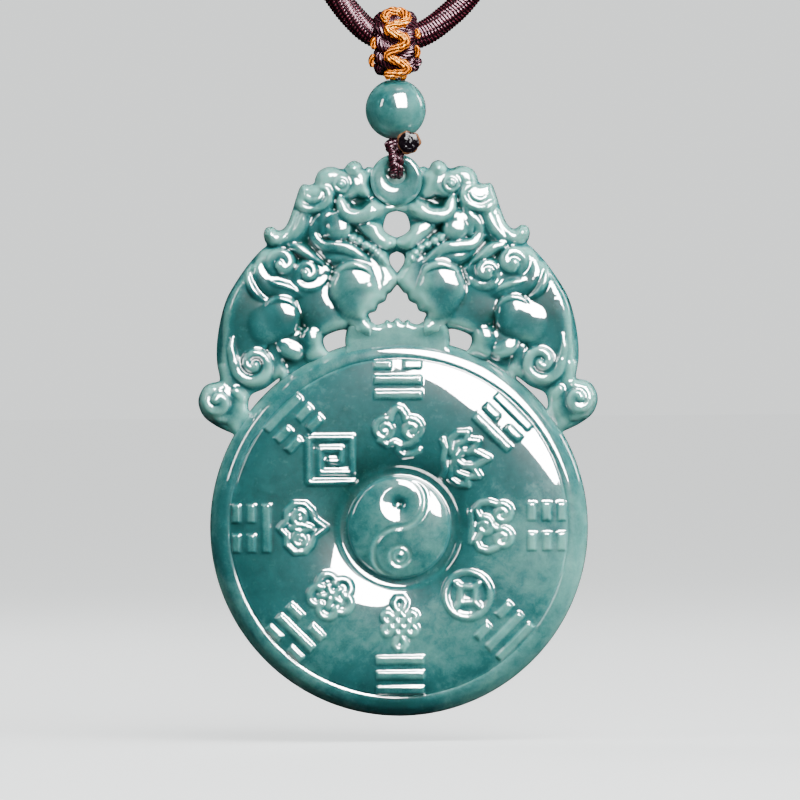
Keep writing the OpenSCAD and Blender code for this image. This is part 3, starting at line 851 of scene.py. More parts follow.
def disc_height(x, z):
    """How far the disc's carved face stands in front of its middle plane."""
    r = np.hypot(x, z)
    h = disc_front * np.interp(r / disc_r, face_line[:, 0], face_line[:, 1])
    # The taiji: a double-curved groove, a pit in its upper half and a ringed eye in its lower
    groove = near_strokes(x, z, [taiji_curve], 1.0)
    fade = soft_step((5.35 - r) / 0.5)
    h = h - (0.2 * bell(groove, 0.22) - 0.05 * bell(groove - 0.42, 0.2)) * fade
    pit = np.hypot(x - taiji_pit[0], z - taiji_pit[1])
    h = h - 0.55 * bell(pit, 0.6) - 0.27 * (1 - soft_step((pit - 0.9) / 1.2))
    eye = np.hypot(x - taiji_eye[0], z - taiji_eye[1])
    h = h - 0.24 * bell(eye - 1.0, 0.2) - 0.22 * bell(eye - 0.5, 0.18)
    # Bars and ornaments
    proud = np.zeros(len(x))
    for way, rows in enumerate(trigrams):
        turn = math.radians(45 * way)
        out = x * math.cos(turn) + z * math.sin(turn)
        side = -x * math.sin(turn) + z * math.cos(turn)
        for middle, whole in zip(bar_rows, rows):
            across = np.abs(out - middle) - bar_half_width
            along = np.abs(side) - bar_half_length
            if not whole:
                along = np.maximum(along, bar_gap_half - np.abs(side))
            edge = np.maximum(across, along)
            proud = np.maximum(proud, bar_proud * soft_step((0.1 - edge) / 0.26))
        spin = turn - math.pi / 2 + math.radians(ornament_turns[way])
        c, s = math.cos(spin), math.sin(spin)
        mid_x, mid_z = ornament_out * math.cos(turn), ornament_out * math.sin(turn)
        own_x = (x - mid_x) * c + (z - mid_z) * s
        own_z = -(x - mid_x) * s + (z - mid_z) * c
        far = near_strokes(own_x, own_z, ornaments[way], 0.9)
        proud = np.maximum(proud, ornament_proud * soft_step((stroke_half_width - far) / 0.34))
    return h + proud


disc_cells = 284
disc_edge_share = 0.975
disc_form = bmesh.new()
bmesh.ops.create_grid(disc_form, x_segments=disc_cells, y_segments=disc_cells, size=1)
flat = np.array([dot.co for dot in disc_form.verts])
square = np.maximum(np.abs(flat[:, 0]), np.abs(flat[:, 1]))
wide = np.abs(flat[:, 0]) >= np.abs(flat[:, 1])
lean = np.where(wide, flat[:, 1], flat[:, 0]) / np.maximum(square, 1e-9) * math.pi / 4
sign = np.where(np.where(wide, flat[:, 0], flat[:, 1]) < 0, -1, 1)
# The rings lie closest at the moat and at the rim, where the profile turns most
ring_at = np.linspace(0, 1, 400)
ring_share = 1 + 0.7 * bell(ring_at - 0.315, 0.05) + 1.3 * bell(ring_at - 0.915, 0.03)
ring_share = np.concatenate([[0], np.cumsum((ring_share[1:] + ring_share[:-1]) / 2)])
reach = np.interp(square * ring_share[-1], ring_share, ring_at) * disc_r * disc_edge_share * sign
disc_x = np.where(wide, reach * np.cos(lean), reach * np.sin(lean * sign))
disc_z = np.where(wide, reach * np.sin(lean * sign), reach * np.cos(lean))
disc_h = disc_height(disc_x, disc_z)
for dot, x, z, h in zip(disc_form.verts, disc_x, disc_z, disc_h):
    dot.co = (x, -h, z)
disc_loop = [edge for edge in disc_form.edges if edge.is_boundary]
rim_front = [(0.984, 0.36), (0.991, 0.27), (0.9965, 0.15), (1.0, 0.0)]
rim_back = [
    (0.9965, 0.16), (0.987, 0.34), (0.972, 0.52), (0.93, 0.76), (0.86, 0.92), (0.72, 0.995), (0.4, 1.0),
    (0, 1.0),
]
disc_rings = [(share, -h * disc_front) for share, h in rim_front]
disc_rings += [(share, h * disc_back) for share, h in rim_back]
for share, y in disc_rings:
    swept = bmesh.ops.extrude_edge_only(disc_form, edges=disc_loop)
    disc_loop = [part for part in swept["geom"] if isinstance(part, bmesh.types.BMEdge) and part.is_boundary]
    loop_dots = list({dot for edge in disc_loop for dot in edge.verts})
    for dot in loop_dots:
        out = math.hypot(dot.co.x, dot.co.z)
        dot.co = (dot.co.x / out * share * disc_r, y, dot.co.z / out * share * disc_r)
bmesh.ops.pointmerge(disc_form, verts=loop_dots, merge_co=(0, disc_back, 0))
bmesh.ops.recalc_face_normals(disc_form, faces=disc_form.faces[:])


def set_carving(form, name, tint):
    """Puts a carving drawn in millimetres round the disc's middle in its place, with its tint."""
    places = np.array([dot.co for dot in form.verts])
    bmesh.ops.scale(form, verts=form.verts[:], vec=(mm, mm, mm))
    bmesh.ops.translate(form, verts=form.verts[:], vec=disc_middle)
    piece = set_piece(form, name, jade, "pendant", "jade", "jade_pendant")
    set_tint_and_painted_light(piece, tint(places))
    return piece


# Deeper and milkier patches of the disc: x and z from the disc's middle, reach and amount. Some are the
# stone's own clouding; the paler patches low down and at the right are painted light, a glow through the
# stone, and the deeper patch at the rim's bottom is painted shade.
disc_clouds_and_painted_light = [
    (-10.4, 6, 7, 0.24), (-7.2, -12, 5, -0.12), (4.4, -12, 6.5, -0.42), (16.5, -7.5, 5, -0.28),
    (0, -19, 5, 0.45), (19, -2, 5, -0.15), (-3.8, 0, 3, -0.12), (8, 9, 5, 0.1), (11, 0, 4, -0.12),
]


def clouds_and_painted_light_at(x, z, clouds):
    """What the patches of a list add to the tint: the stone's deeper and milkier parts, and painted light
    and shade.
    """
    return sum(more * bell(np.hypot(x - px, z - pz), reach) for px, pz, reach, more in clouds)


def disc_tint_and_painted_light(places):
    """Deep round the moat and darkest in the taiji's pit, which is painted shade; paler in the boss and
    along the taiji's lines; paler towards the rim, front and back, as a painted glow through the thin edge;
    and paler on what stands proud, as painted light.
    """
    x, y, z = places.T
    r = np.hypot(x, z)
    # The moat ring is deeper; towards the rim the tint is paler, a painted glow of light through the thinner
    # stone
    tint = 0.62 + 0.25 * soft_step((9.5 - r) / 2.5) - 0.18 * soft_step((r - 17.2) / 1.2)
    tint = tint - 0.2 * soft_step(r - 19) - 0.45 * soft_step((boss_r + 0.2 - r) / 0.6)
    line = near_strokes(x, z, [taiji_curve], 1.0)
    eye = np.hypot(x - taiji_eye[0], z - taiji_eye[1])
    pit = np.hypot(x - taiji_pit[0], z - taiji_pit[1])
    tint = tint - 0.3 * (r < 5.3) * bell(line, 0.2) - 0.3 * (bell(eye - 1.0, 0.2) + bell(eye - 0.5, 0.18))
    # Painted shade: the taiji's pit is darkened; the patches add clouding and painted light and shade
    tint = tint + 0.7 * bell(pit, 0.75) + clouds_and_painted_light_at(x, z, disc_clouds_and_painted_light)
    smooth = disc_front * np.interp(r / disc_r, *np.transpose(cushion))
    # Painted light: bars and ornaments that stand proud are made paler
    proud = np.clip((-y - smooth) / bar_proud, 0, 1) * (r > 7.0) * (r < 17.8)
    # On the back the tint is paler towards the edge, a painted glow through the thin stone
    return np.where(y < 0, tint - 0.35 * proud, 0.65 - 0.35 * soft_step((r - 17.5) / 2.4))


set_carving(disc_form, "jade_disc", disc_tint_and_painted_light)

# The two guardian lions stand face to face on the disc's shoulders with their jaws at the coin.
# Each is pierced and carved in relief from the same stone: muzzle, curled mane, cloud wing,
# round shoulder and haunch, and a tail that ends in a curl. Their backs are carved shallower.
crest_rise = 19.5
lion_cell = 0.095
lion_ground = 1.1
lion_edge = 0.95
hollow_span = 1.2
least_hollow = 0.28
coin_r = 2.8
coin_z = -239.85 - -276.55
coin_seat = 0.8
seat_slope = 2.6


def on_crest(share):
    """A place on the crest from its shares of the disc's radius and of the crest's rise."""
    across, up = share
    return (across * disc_r, up * disc_r if up < 1 else disc_r + (up - 1) * crest_rise)


crest_edge = [
    (0, 1.9), (0.12, 1.925), (0.15, 1.93), (0.172, 1.92), (0.19, 1.95), (0.223, 1.963), (0.256, 1.947),
    (0.276, 1.922), (0.3, 1.921), (0.333, 1.931), (0.373, 1.928), (0.41, 1.906), (0.428, 1.872),
    (0.435, 1.846), (0.46, 1.834), (0.492, 1.838), (0.512, 1.817), (0.529, 1.769), (0.552, 1.695),
    (0.574, 1.634), (0.598, 1.599), (0.626, 1.589), (0.658, 1.608), (0.69, 1.602), (0.704, 1.572),
    (0.699, 1.535), (0.69, 1.508), (0.723, 1.478), (0.783, 1.41), (0.849, 1.315), (0.902, 1.22),
    (0.935, 1.111), (0.955, 0.989), (0.957, 0.884), (0.942, 0.792), (0.957, 0.776), (0.995, 0.768),
    (1.033, 0.74), (1.057, 0.672), (1.03, 0.595), (0.96, 0.54), (0.875, 0.5),
]
chin_edge = [(0, 1.545), (0.045, 1.565), (0.07, 1.6), (0.05, 1.67), (0, 1.69)]
chest_edge = [(0, 1.355), (0.035, 1.405), (0.035, 1.45), (0, 1.47)]
paw_edge = [
    (0.14, 1.1), (0.152, 1.125), (0.145, 1.136), (0.118, 1.145), (0.108, 1.158), (0.1, 1.182), (0.085, 1.19),
    (0.066, 1.2), (0.058, 1.212), (0.05, 1.238), (0.034, 1.247), (0.018, 1.268), (0, 1.29),
]
lap = -0.3
leg_window = [(0.27, 1.045), (0.385, 1.01), (0.375, 0.94), (0.31, 0.91), (0.28, 0.94)]
tail_window = [(0.625, 0.79), (0.7, 0.74), (0.78, 0.7), (0.785, 0.62), (0.7, 0.67)]
foot_r = 18.8


def eased(line):
    """A crest line in mm, smoothed between its chosen points."""
    return [tuple(dot) for dot in smooth_path([on_crest(share) for share in line], 6)]


lion_back = eased(crest_edge)
lion_foot = ring(0, 0, foot_r, 28, 81.7, 40)
# Where the two lions touch, each runs a little way into the other
lion_front = []
for line in (paw_edge, chest_edge, chin_edge):
    line = eased(line)
    lion_front += [line] if line[0][0] > 0 else [[(lap, line[0][1])] + line]
    if line[-1][0] <= 0:
        lion_front[-1] = lion_front[-1] + [(lap, line[-1][1])]
lion_outline = lion_back + lion_foot + [dot for line in lion_front for dot in line]
lion_outline += [(lap, lion_back[0][1])]
lion_windows = [
    [tuple(dot) for dot in smooth_path([on_crest(share) for share in window], 6, closed=True)]
    for window in (leg_window, tail_window)
]
# Edges that are rounded over: all but the foot, which is hidden in the disc
lion_eased = [lion_back] + lion_front + lion_windows


def hundredths(rows):
    """Rows of numbers to the hundredth of a millimetre, as the table of forms has them."""
    return [tuple(round(float(value), 2) for value in row) for row in rows]


def curl(x, z, r, end_r, start, turns, count, widths, tops):
    """A scroll for the table of forms, whose half width and height change evenly to its eye."""
    spots = scroll(x, z, r, end_r, start, turns, count)
    sizes = zip(np.linspace(*widths, count + 1), np.linspace(*tops, count + 1))
    return hundredths((*spot, *size) for spot, size in zip(spots, sizes))


# Each form: how far it rounds off, and its dots of place, half width and height, in mm
lion_forms = [
    # The head: skull, brow, eye, lips, jowl, cheek and jaw
    (1.2, [(7.12, 36.64, 1.48, 2.45), (5.99, 36.27, 1.44, 2.55), (4.78, 36.04, 1.21, 2.5)]),
    (0.5, [(4.17, 37.1, 0.85, 2.4), (3.79, 36.11, 0.82, 2.42), (3.42, 35.4, 0.51, 2.35)]),
    (1.1, [(4.5, 38.03, 0.85, 2.95)]),
    (0.15, [(5.8, 36.27, 0.79, 3.1)]),
    (1, [(5.99, 34.83, 0.27, 2.6), (5.8, 34.15, 0.57, 2.9), (5.46, 33.24, 0.7, 3.05),
        (4.63, 32.83, 0.73, 3.15), (3.42, 32.94, 0.73, 3.15), (2.54, 33.5, 0.76, 3.1),
        (2.27, 33.71, 0.68, 3)]),
    (0.6, [(7.04, 34.45, 0.42, 2.45), (7.53, 33.32, 0.54, 2.45), (7.8, 32.26, 0.54, 2.45),
        (7.65, 31.13, 0.48, 2.35)]),
    (1.3, [(6.32, 32.26, 1.3, 2.7), (6.2, 31.58, 1.42, 2.9)]),
    (1.2, [(3.87, 32.14, 0.51, 2.2), (2.96, 31.63, 0.79, 2.6), (2.06, 31.02, 0.94, 2.8),
        (1.27, 30.33, 0.97, 2.8), (0.77, 30.14, 0.73, 2.5)]),
    # The ear
    (1, [(9.46, 34.83, 1.27, 2.35), (8.56, 34.83, 1.44, 2.5), (8.03, 34.98, 1.33, 2.5)]),
    (0.45, [(10.55, 34.6, 0.27, 2.45), (9.95, 33.89, 0.39, 2.75), (8.86, 33.65, 0.39, 2.8),
        (7.72, 34.07, 0.39, 2.8), (7.11, 34.95, 0.36, 2.85), (7.38, 35.77, 0.3, 2.8),
        (8.03, 36.01, 0.18, 2.6)]),
    (0.4, [(9.49, 34.89, 0.21, 2.6), (8.98, 34.53, 0.3, 2.75), (8.21, 34.74, 0.3, 2.8),
        (7.91, 35.22, 0.21, 2.7)]),
    (0.6, [(9.95, 35.92, 0.45, 2.35), (9.19, 35.98, 0.42, 2.45)]),
    # The mane, a plume and its strands
    (0.9, [(9.31, 32.96, 1.53, 2), (10.24, 31.64, 1.59, 2), (11.56, 30.63, 1.06, 1.95),
        (12.96, 30.58, 0.79, 2)]),
    (0.5, [(10.79, 33.07, 0.53, 2.25), (11.43, 31.8, 0.66, 2.4), (12.35, 30.63, 0.63, 2.35),
        (13.23, 30.77, 0.53, 2.35)]),
    (0.7, [(13.33, 31.27, 0.82, 2.5)]),
    (0.5, [(9.63, 33.07, 0.58, 2.4), (10.11, 31.75, 0.71, 2.45), (11.11, 30.42, 0.58, 2.3),
        (12.35, 29.89, 0.37, 2)]),
    (0.4, [(7.98, 33.09, 0.3, 2.35), (8.59, 32.11, 0.5, 2.35), (8.71, 30.9, 0.51, 2.3),
        (7.92, 29.87, 0.54, 2.6), (6.59, 29.66, 0.56, 2.75), (5.08, 29.43, 0.56, 2.8),
        (3.79, 28.63, 0.45, 2.62), (2.74, 27.72, 0.21, 2.2)]),
    # Neck, beard, chest, side, shoulder, foreleg and paw
    (0.9, [(7.2, 29.18, 1.22, 1.95), (5.08, 28.47, 1.43, 2.15), (3.23, 27.14, 1.32, 2.2),
        (2.38, 26.35, 0.95, 2)]),
    (0.45, [(8.25, 29.26, 0.26, 2), (6.93, 28.68, 0.53, 2.35), (5.34, 28.41, 0.63, 2.45),
        (3.89, 27.78, 0.58, 2.4), (2.65, 26.67, 0.34, 2.2)]),
    (0.6, [(4.63, 30.52, 0.39, 2), (3.19, 29.81, 0.48, 2.05), (2.06, 29.01, 0.51, 2.05),
        (1, 28, 0.51, 2.05)]),
    (0.5, [(1.85, 28.25, 1.11, 2.1), (1.59, 26.88, 1.32, 2.2), (1.8, 25.29, 1.64, 2.4),
        (2.38, 23.7, 1.48, 2.35), (2.96, 22.43, 1.16, 2.2)]),
    (0.6, [(8.84, 24.42, 1.96, 2.25), (8.25, 22.83, 2.17, 2.3), (6.77, 22.17, 1.64, 2.25)]),
    (1.45, [(4.6, 25.21, 2.59, 3.2), (4.15, 24.29, 2.33, 3.05)]),
    (0.3, [(6.35, 26.93, 0.16, 2.7), (5.61, 27.46, 0.29, 3.02), (4.42, 27.72, 0.34, 3.2),
        (3.23, 27.3, 0.26, 3.1), (2.75, 26.67, 0.16, 2.8)]),
    (1.1, [(4.55, 23.76, 2.01, 2.8), (4.02, 22.38, 1.48, 2.4), (3.23, 21.27, 1.16, 2.2),
        (2.54, 20.63, 0.79, 2)]),
    (0.5, [(4.15, 20.98, 0.48, 2.2), (3.23, 21.22, 0.58, 2.45), (2.57, 20.9, 0.42, 2.4)]),
    # The cloud wing, with two curls and three sweeps
    (0.85, [(13.54, 28.12, 1.38, 2.2), (12.75, 26.93, 2.01, 2.3), (10.9, 26.35, 1.9, 2.3),
        (9.05, 26.61, 1.48, 2.25), (7.67, 27.14, 0.79, 2)]),
    (0.45, [(11.27, 29.74, 0.32, 2.45), (10.26, 29.47, 0.48, 2.75), (9.05, 28.65, 0.42, 2.65),
        (7.88, 27.88, 0.21, 2.2)]),
    (0.7, curl(12.1693, 27.9894, 1.2169, 0.3968, -45, 1.0, 12, (0.6349, 0.7143), (2.5, 3.05))),
    (0.6, curl(9.4709, 26.9841, 1.0053, 0.2646, -25, 1.05, 12, (0.5291, 0.4762), (2.5, 2.98))),
    (0.7, [(14.66, 28.04, 0.37, 2.15), (14.39, 26.46, 0.85, 2.45), (13.15, 25.48, 1.06, 2.55),
        (11.48, 25.03, 1.01, 2.5), (9.84, 25.08, 0.69, 2.2)]),
    (0.3, [(13.76, 26.35, 0.13, 2.3), (13.07, 25.87, 0.26, 2.72), (11.9, 25.61, 0.29, 2.78),
        (10.9, 25.19, 0.24, 2.65), (9.89, 24.34, 0.11, 2.2)]),
    (0.45, [(10.79, 26.53, 0.29, 2.4), (10.42, 25.77, 0.42, 2.55), (9.52, 25.34, 0.45, 2.55),
        (8.36, 25.56, 0.4, 2.4), (7.41, 26.35, 0.24, 2.1)]),
    # Flank, haunch, tufts, thigh, claws, shin and the curl at the heel
    (0.7, [(15.45, 26.14, 1.85, 2.2), (15.77, 24.29, 2.49, 2.4), (15.77, 22.17, 2.65, 2.45),
        (16.03, 20.05, 2.43, 2.3), (16.56, 17.94, 2.06, 2.1)]),
    (0.4, [(15.87, 27.25, 0.19, 2.3), (15.56, 25.87, 0.37, 2.72), (14.92, 24.76, 0.4, 2.72),
        (13.94, 24.07, 0.21, 2.4)]),
    (1.25, [(13.76, 21.53, 2.12, 2.75), (12.35, 22.22, 2.12, 2.95)]),
    (0.3, [(13.92, 23.23, 0.16, 2.55), (13.44, 23.86, 0.26, 2.75), (12.35, 24.18, 0.29, 2.85),
        (11.22, 23.84, 0.29, 2.8), (10.71, 23.07, 0.19, 2.55)]),
    (0.4, [(15.13, 21.38, 0.37, 2.4), (15.82, 21.32, 0.26, 2.35), (16.46, 21.43, 0.13, 2.2)]),
    (0.4, [(15.03, 20.63, 0.37, 2.35), (15.71, 20.42, 0.26, 2.3), (16.3, 20.32, 0.13, 2.15)]),
    (0.4, [(14.39, 20, 0.37, 2.3), (15.03, 19.58, 0.26, 2.2), (15.61, 19.1, 0.13, 2.05)]),
    (0.9, [(12.22, 20.26, 1.16, 2.1), (10.37, 19.74, 1.22, 2.15), (8.78, 18.94, 1.22, 2.1),
        (8.04, 17.88, 0.9, 1.9)]),
    (1, [(9.15, 20, 1.27, 2.6)]),
    (0.7, [(8.99, 18.68, 0.95, 2.35)]),
    (0.9, [(12.28, 19.52, 0.63, 2.3), (11.64, 18.94, 0.9, 2.5), (10.79, 18.62, 0.85, 2.45)]),
    (0.7, [(8.12, 17.67, 0.74, 2.1)]),
    (0.8, [(12.75, 18.86, 1.01, 1.9), (13.07, 17.54, 1.01, 1.8), (12.62, 16.48, 0.9, 1.7)]),
    (0.9, [(15.34, 17.14, 1.8, 2.2)]),
    (0.45, [(17.46, 20.19, 0.21, 2.35), (17.57, 18.99, 0.4, 2.5), (17.25, 17.41, 0.53, 2.5)]),
    (0.6, curl(15.1852, 17.3545, 2.0635, 0.2116, 0, -1.42, 17, (0.5556, 0.3968), (2.5, 2.95))),
    # The tail and its curl
    (0.9, [(18.25, 16.61, 1.06, 2), (17.78, 15.03, 1.27, 1.9), (16.32, 13.17, 1.06, 1.7)]),
    (1, [(18.97, 13.23, 2.06, 2.2), (17.51, 12.51, 1.59, 1.8), (16.51, 11.46, 1.48, 1.5)]),
    (0.7, curl(19.0476, 13.4391, 1.4815, 0.2646, 95, -1.15, 13, (0.6614, 0.5291), (2.3, 2.9))),
    (0.5, [(17.09, 14.44, 0.48, 2.25), (16.4, 13.7, 0.48, 2)]),
]
# The row of small beads along the beard
for x, z in (
    (4.66, 30.54), (3.99, 30.22), (3.19, 29.81), (2.51, 29.46), (1.98, 28.96), (1.53, 28.42), (1.03, 28),
):
    lion_forms.append((0.5, [(x, z, 0.33, 3)]))
# Cut lines: half width, depth and course
lion_grooves = [
    (0.23, 0.6, hundredths(ring(5.8095, 36.2646, 0.4868, 180, -180, 12))),
    (0.21, 0.25, hundredths(ring(5.8095, 36.2646, 0.9312, 180, -180, 12))),
    (0.14, 0.16, [(10.58, 32.96), (10.85, 31.96), (11.64, 30.77)]),
    (0.13, 0.15, [(9.44, 32.8), (9.66, 31.69), (10.37, 30.63)]),
]
# Drilled pits: place, half width and depth
lion_pits = [
    (4.35, 34.68, 0.63, 0.85),
    (3.49, 34.86, 0.53, 0.6),
    (13.54, 31.38, 0.26, 0.3),
]


def inside(x, z, outline):
    """Which places lie inside a closed outline."""
    dots = np.array(outline, float)
    hit = np.zeros(len(x), bool)
    for (ax, az), (bx, bz) in zip(dots, np.roll(dots, -1, 0)):
        if az == bz:
            continue
        crosses = ((az > z) != (bz > z)) & (x < ax + (bx - ax) * (z - az) / (bz - az))
        hit ^= crosses
    return hit


def blended(a, b, soft):
    """The higher of two heights, with a fillet where they meet."""
    return np.maximum(a, b) + np.maximum(soft - np.abs(a - b), 0) ** 2 / (4 * soft)


def raise_form(h, x, z, drop, dots):
    """Adds one rounded form to a relief: dots are places with the form's half width and top."""
    dots = np.array(dots, float)
    if len(dots) > 1:
        dots = smooth_path(dots, 4)
    else:
        dots = np.concatenate([dots, dots])
    margin = dots[:, 2].max() + 1.0
    low, high = dots[:, :2].min(0) - margin, dots[:, :2].max(0) + margin
    spots = np.nonzero((x > low[0]) & (x < high[0]) & (z > low[1]) & (z < high[1]))[0]
    px, pz = x[spots], z[spots]
    best = np.full(len(px), 99.0)
    top = np.zeros(len(px))
    beyond = np.zeros(len(px))
    for (ax, az, ar, at), (bx, bz, br, bt) in zip(dots, dots[1:]):
        dx, dz = bx - ax, bz - az
        t = np.clip(((px - ax) * dx + (pz - az) * dz) / max(dx * dx + dz * dz, 1e-9), 0, 1)
        far = np.hypot(px - ax - t * dx, pz - az - t * dz)
        wide = np.maximum(ar + (br - ar) * t, 0.02)
        share = far / wide
        near = share < best
        best = np.where(near, share, best)
        top = np.where(near, at + (bt - at) * t, top)
        beyond = np.where(near, far - wide, beyond)
    widest = dots[:, 2].max()
    flat = 2.9 if len(dots) > 2 else 2.2
    dome = top - drop * (1 - (1 - np.clip(best, 0, 1) ** flat) ** (1 / flat))
    dome = dome - (2.9 - 0.55 * min(widest, 2.4)) * np.maximum(beyond, 0)
    h[spots] = blended(h[spots], dome, 0.1 + 0.22 * widest)
    return h


def lion_height(x, z):
    """How far a lion's carved face stands in front of the middle plane. Its nose is at the left."""
    h = np.full(len(x), lion_ground)
    for drop, dots in lion_forms:
        h = raise_form(h, x, z, drop, dots)
    for width, depth, line in lion_grooves:
        near = near_strokes(x, z, [smooth_path(line, 4)], 1.0)
        h = h - depth * bell(near, width)
    for px, pz, r, depth in lion_pits:
        h = h - depth * bell(np.hypot(x - px, z - pz), r / 1.4)
    # The coin lies clear of the heads in a shallow seat
    seat = coin_seat + seat_slope * np.maximum(np.hypot(x, z - coin_z) - coin_r, 0)
    h = -blended(-h, -seat, 0.3)
    near = near_strokes(x, z, lion_eased, 1.1)
    rounded = np.sqrt(1 - (1 - np.clip(near / lion_edge, 0, 1)) ** 2)
    h = np.maximum(h, 0.9) * (0.34 + 0.66 * rounded)
    r = np.hypot(x, z)
    return 0.5 + (h - 0.5) * soft_step((r - 19.2) / 1.4)


def carved_sheet(outline, windows, cell, face, behind):
    """A sheet cut to an outline and pierced, whose front and back stand out to given heights."""
    form = bmesh.new()
    low, high = np.min(outline, 0), np.max(outline, 0)
    cells = np.ceil((high - low) / cell).astype(int) + 1
    bmesh.ops.create_grid(form, x_segments=int(cells[0]), y_segments=int(cells[1]), size=0.5)
    for dot in form.verts:
        along, up = (low[i] + (dot.co[i] + 0.5) * cells[i] * cell for i in (0, 1))
        dot.co = (along, 0, up)
    middles = np.array([face.calc_center_median() for face in form.faces])
    keep = inside(middles[:, 0], middles[:, 2], outline)
    for window in windows:
        keep &= ~inside(middles[:, 0], middles[:, 2], window)
    form.faces.ensure_lookup_table()
    bmesh.ops.delete(form, geom=[form.faces[i] for i in np.nonzero(~keep)[0]], context="FACES")
    segments = [pair for line in [outline] + windows for pair in zip(line, line[1:] + line[:1])]
    a = np.array([pair[0] for pair in segments])
    run = np.array([pair[1] for pair in segments]) - a
    size = np.maximum((run**2).sum(1), 1e-9)
    rim = {dot for edge in form.edges if edge.is_boundary for dot in edge.verts}
    for dot in rim:
        spot = np.array((dot.co.x, dot.co.z))
        t = np.clip(((spot - a) * run).sum(1) / size, 0, 1)
        feet = a + run * t[:, None]
        foot = feet[np.argmin(((feet - spot) ** 2).sum(1))]
        dot.co = (foot[0], 0, foot[1])
    bmesh.ops.recalc_face_normals(form, faces=form.faces[:])
    bmesh.ops.solidify(form, geom=form.faces[:], thickness=1.0)
    levels = np.array([dot.co.y for dot in form.verts])
    middle = (levels.min() + levels.max()) / 2
    walls = [edge for edge in form.edges if (edge.verts[0].co.y < middle) != (edge.verts[1].co.y < middle)]
    bmesh.ops.subdivide_edges(form, edges=walls, cuts=3, use_grid_fill=False)
    places = np.array([dot.co for dot in form.verts])
    share = (places[:, 1] - levels.min()) / (levels.max() - levels.min())
    front = face(places[:, 0], places[:, 2])
    back = behind(places[:, 0], places[:, 2], front)
    for dot, y in zip(form.verts, -front + (front + back) * share):
        dot.co.y = y
    bmesh.ops.recalc_face_normals(form, faces=form.faces[:])
    return form


lion = carved_sheet(
    lion_outline, lion_windows, lion_cell, lion_height, lambda x, z, front: 0.75 + 0.4 * front
)
for turn in range(6):
    bmesh.ops.smooth_vert(lion, verts=lion.verts[:], factor=0.5, use_axis_y=True)


def hollows(x, z):
    """How far each place of a lion lies below the average of the carving around it."""
    step = 0.2
    low = (x.min() - hollow_span, z.min() - hollow_span)
    columns = low[0] + step * np.arange(int((x.max() - low[0] + hollow_span) / step) + 2)
    rows = low[1] + step * np.arange(int((z.max() - low[1] + hollow_span) / step) + 2)
    grid_x, grid_z = np.meshgrid(columns, rows)
    level = lion_height(grid_x.ravel(), grid_z.ravel()).reshape(grid_x.shape)
    half = round(hollow_span / step / 2)
    for turn in range(4):
        level = np.mean([np.roll(level, k, turn % 2) for k in range(-half, half + 1)], axis=0)
    i = (x - low[0]) / step
    j = (z - low[1]) / step
    a, b = i.astype(int), j.astype(int)
    i, j = i - a, j - b
    across = level[b, a] * (1 - i) + level[b, a + 1] * i
    above = level[b + 1, a] * (1 - i) + level[b + 1, a + 1] * i
    return across * (1 - j) + above * j - lion_height(x, z)


# Deeper and milkier patches of the lions: x and z from the disc's middle, reach and amount. Some are the
# stone's own clouding; the deeper patches under the mane and in the hollow of the belly are painted shade.
stone_clouds_and_painted_shade = [
    (17.4, 24.4, 2.6, 0.5), (10.1, 30.1, 1.6, 0.25), (9.4, 21.9, 2.3, 0.5), (17.6, 20.6, 2.2, 0.2),
    (14, 25, 1.5, 0.2), (8.3, 37, 2.6, -0.22), (19.3, 13.4, 3, -0.15), (2.8, 25.2, 2, -0.25),
    (13.6, 32.4, 1.2, -0.2), (6.5, 19, 2, -0.1), (7.6, 28, 1.6, 0.22), (4.5, 25, 1.8, 0.12),
]


def lion_tint_and_painted_light(places):
    """Painted shade in the hollows of the carving and painted light on what stands above them, a little
    deeper towards the bottom and on the left lion, and paler at the edges as a painted glow through the thin
    stone.
    """
    x, z = np.abs(places[:, 0]), places[:, 2]
    # Painted glow: the stone is made paler near its rounded edges, as if lit through
    near = near_strokes(x, z, lion_eased, 2.2)
    thin = 1 - soft_step(near / 2.1)
    # Painted shade and light: darker below the carving's local average, paler above it
    painted_relief_shade = np.clip(hollows(x, z) / 0.6, -1, 1)
    tint = 0.4 + 0.75 * painted_relief_shade + 0.1 * soft_step((34 - z) / 16) + np.where(places[:, 0] < 0, 0.07, -0.02)
    tint = tint + clouds_and_painted_light_at(x, z, stone_clouds_and_painted_shade)
    return np.where(places[:, 1] < 0, tint, 0.55) - 0.5 * thin


mirrored = lion.copy()
bmesh.ops.scale(mirrored, verts=mirrored.verts[:], vec=(-1, 1, 1))
bmesh.ops.recalc_face_normals(mirrored, faces=mirrored.faces[:])
# The polish doesn't reach into the hollows of the carving
hollow_jade = jade_finish("jade_in_the_hollows", *jade_tones, 0.3)
for side_form, side_name in ((lion, "jade_lion_right"), (mirrored, "jade_lion_left")):
    lion_piece = set_carving(side_form, side_name, lion_tint_and_painted_light)
    lion_piece.data.materials.append(hollow_jade)
    spots = np.empty(len(lion_piece.data.polygons) * 3, np.float32)
    lion_piece.data.polygons.foreach_get("center", spots)
    spots = (spots.reshape(-1, 3) - np.array(disc_middle)) / mm
    dull = hollows(np.abs(spots[:, 0]), spots[:, 2]) > least_hollow
    lion_piece.data.polygons.foreach_set("material_index", (dull & (spots[:, 1] < 0)).astype(np.int32))

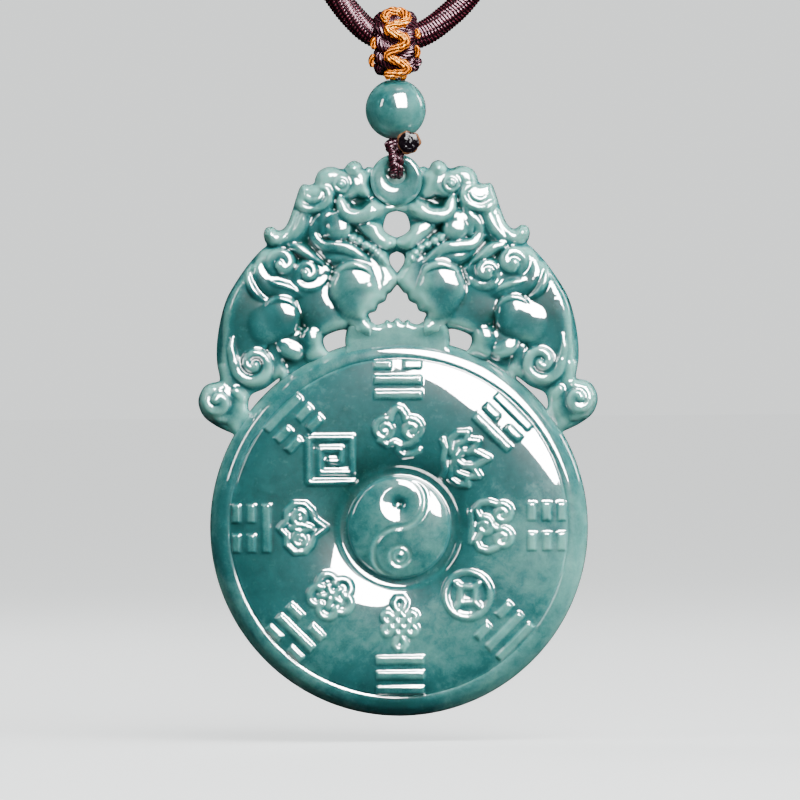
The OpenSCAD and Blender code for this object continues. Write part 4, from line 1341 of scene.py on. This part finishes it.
# The ledge under the fore paws is a strip of rock with small points. It is the same stone, left
# standing on the disc's rim where the gap between the lions was cut out.
ledge_outline = [
    (-5.5, 19.1), (-5.55, 20.0), (-5.2, 21.4), (-4.2, 21.95), (-2.9, 21.8), (-2.2, 21.45),
    (-1.5, 21.6), (-1.1, 21.95), (-0.6, 21.7), (0, 22.15), (0.6, 21.7), (1.1, 21.95), (1.5, 21.6),
    (2.2, 21.45), (2.9, 21.8), (4.2, 21.95), (5.2, 21.4), (5.55, 20.0), (5.5, 19.1),
]
ledge_top = [tuple(dot) for dot in smooth_path(ledge_outline, 6)]
ledge_line = ledge_top + ring(0, 0, foot_r, 73, 107, 20)


def ledge_height(x, z):
    """The ledge's face, rounded over at its top and swelling up to the paws."""
    near = near_strokes(x, z, [ledge_top], 1.2)
    rounded = np.sqrt(1 - (1 - np.clip(near / 0.6, 0, 1)) ** 2)
    h = 1.7 + 0.5 * bell(np.abs(x) - 3.9, 1.3) * soft_step((z - 19.8) / 1.4)
    return h * (0.35 + 0.65 * rounded)


ledge = carved_sheet(ledge_line, [], 0.12, ledge_height, lambda x, z, front: 0.6 + 0.5 * front)
set_carving(ledge, "jade_ledge", lambda places: np.full(len(places), 0.18))

# The coin that the lions hold is an old round one, carved from the same stone. Its hole is
# drilled and dished, with an eased edge for the cord.
coin_half = 1.75
coin_hole_r = 1.0
hole_rise = 0.6
coin_face_high = 1.42
coin_face = [
    (1.0, 0.3), (1.02, 0.82), (1.1, 1.0), (1.25, 1.18), (1.42, 1.31), (1.62, 1.385), (1.85, 1.41),
    (2.25, coin_face_high), (2.48, 1.35), (2.65, 1.16), (2.75, 0.84), (2.79, 0.4),
]
coin_side = [(r, h * coin_half / coin_face_high) for r, h in smooth_path(coin_face, 4)]
coin_line = [(r, -h) for r, h in coin_side] + [(coin_r, 0)] + coin_side[::-1]
coin_outline = [(r, y, coin_z) for r, y in coin_line]
coin = lathed(coin_outline, (0, 0, coin_z), (0, 1, 0), 120, weld / mm)
for dot in coin.verts:
    out = math.hypot(dot.co.x, dot.co.z - coin_z)
    dot.co.z += hole_rise * (coin_r - out) / (coin_r - coin_hole_r)
set_carving(coin, "jade_coin", lambda places: 0.2 + 0.1 * np.abs(places[:, 1]))
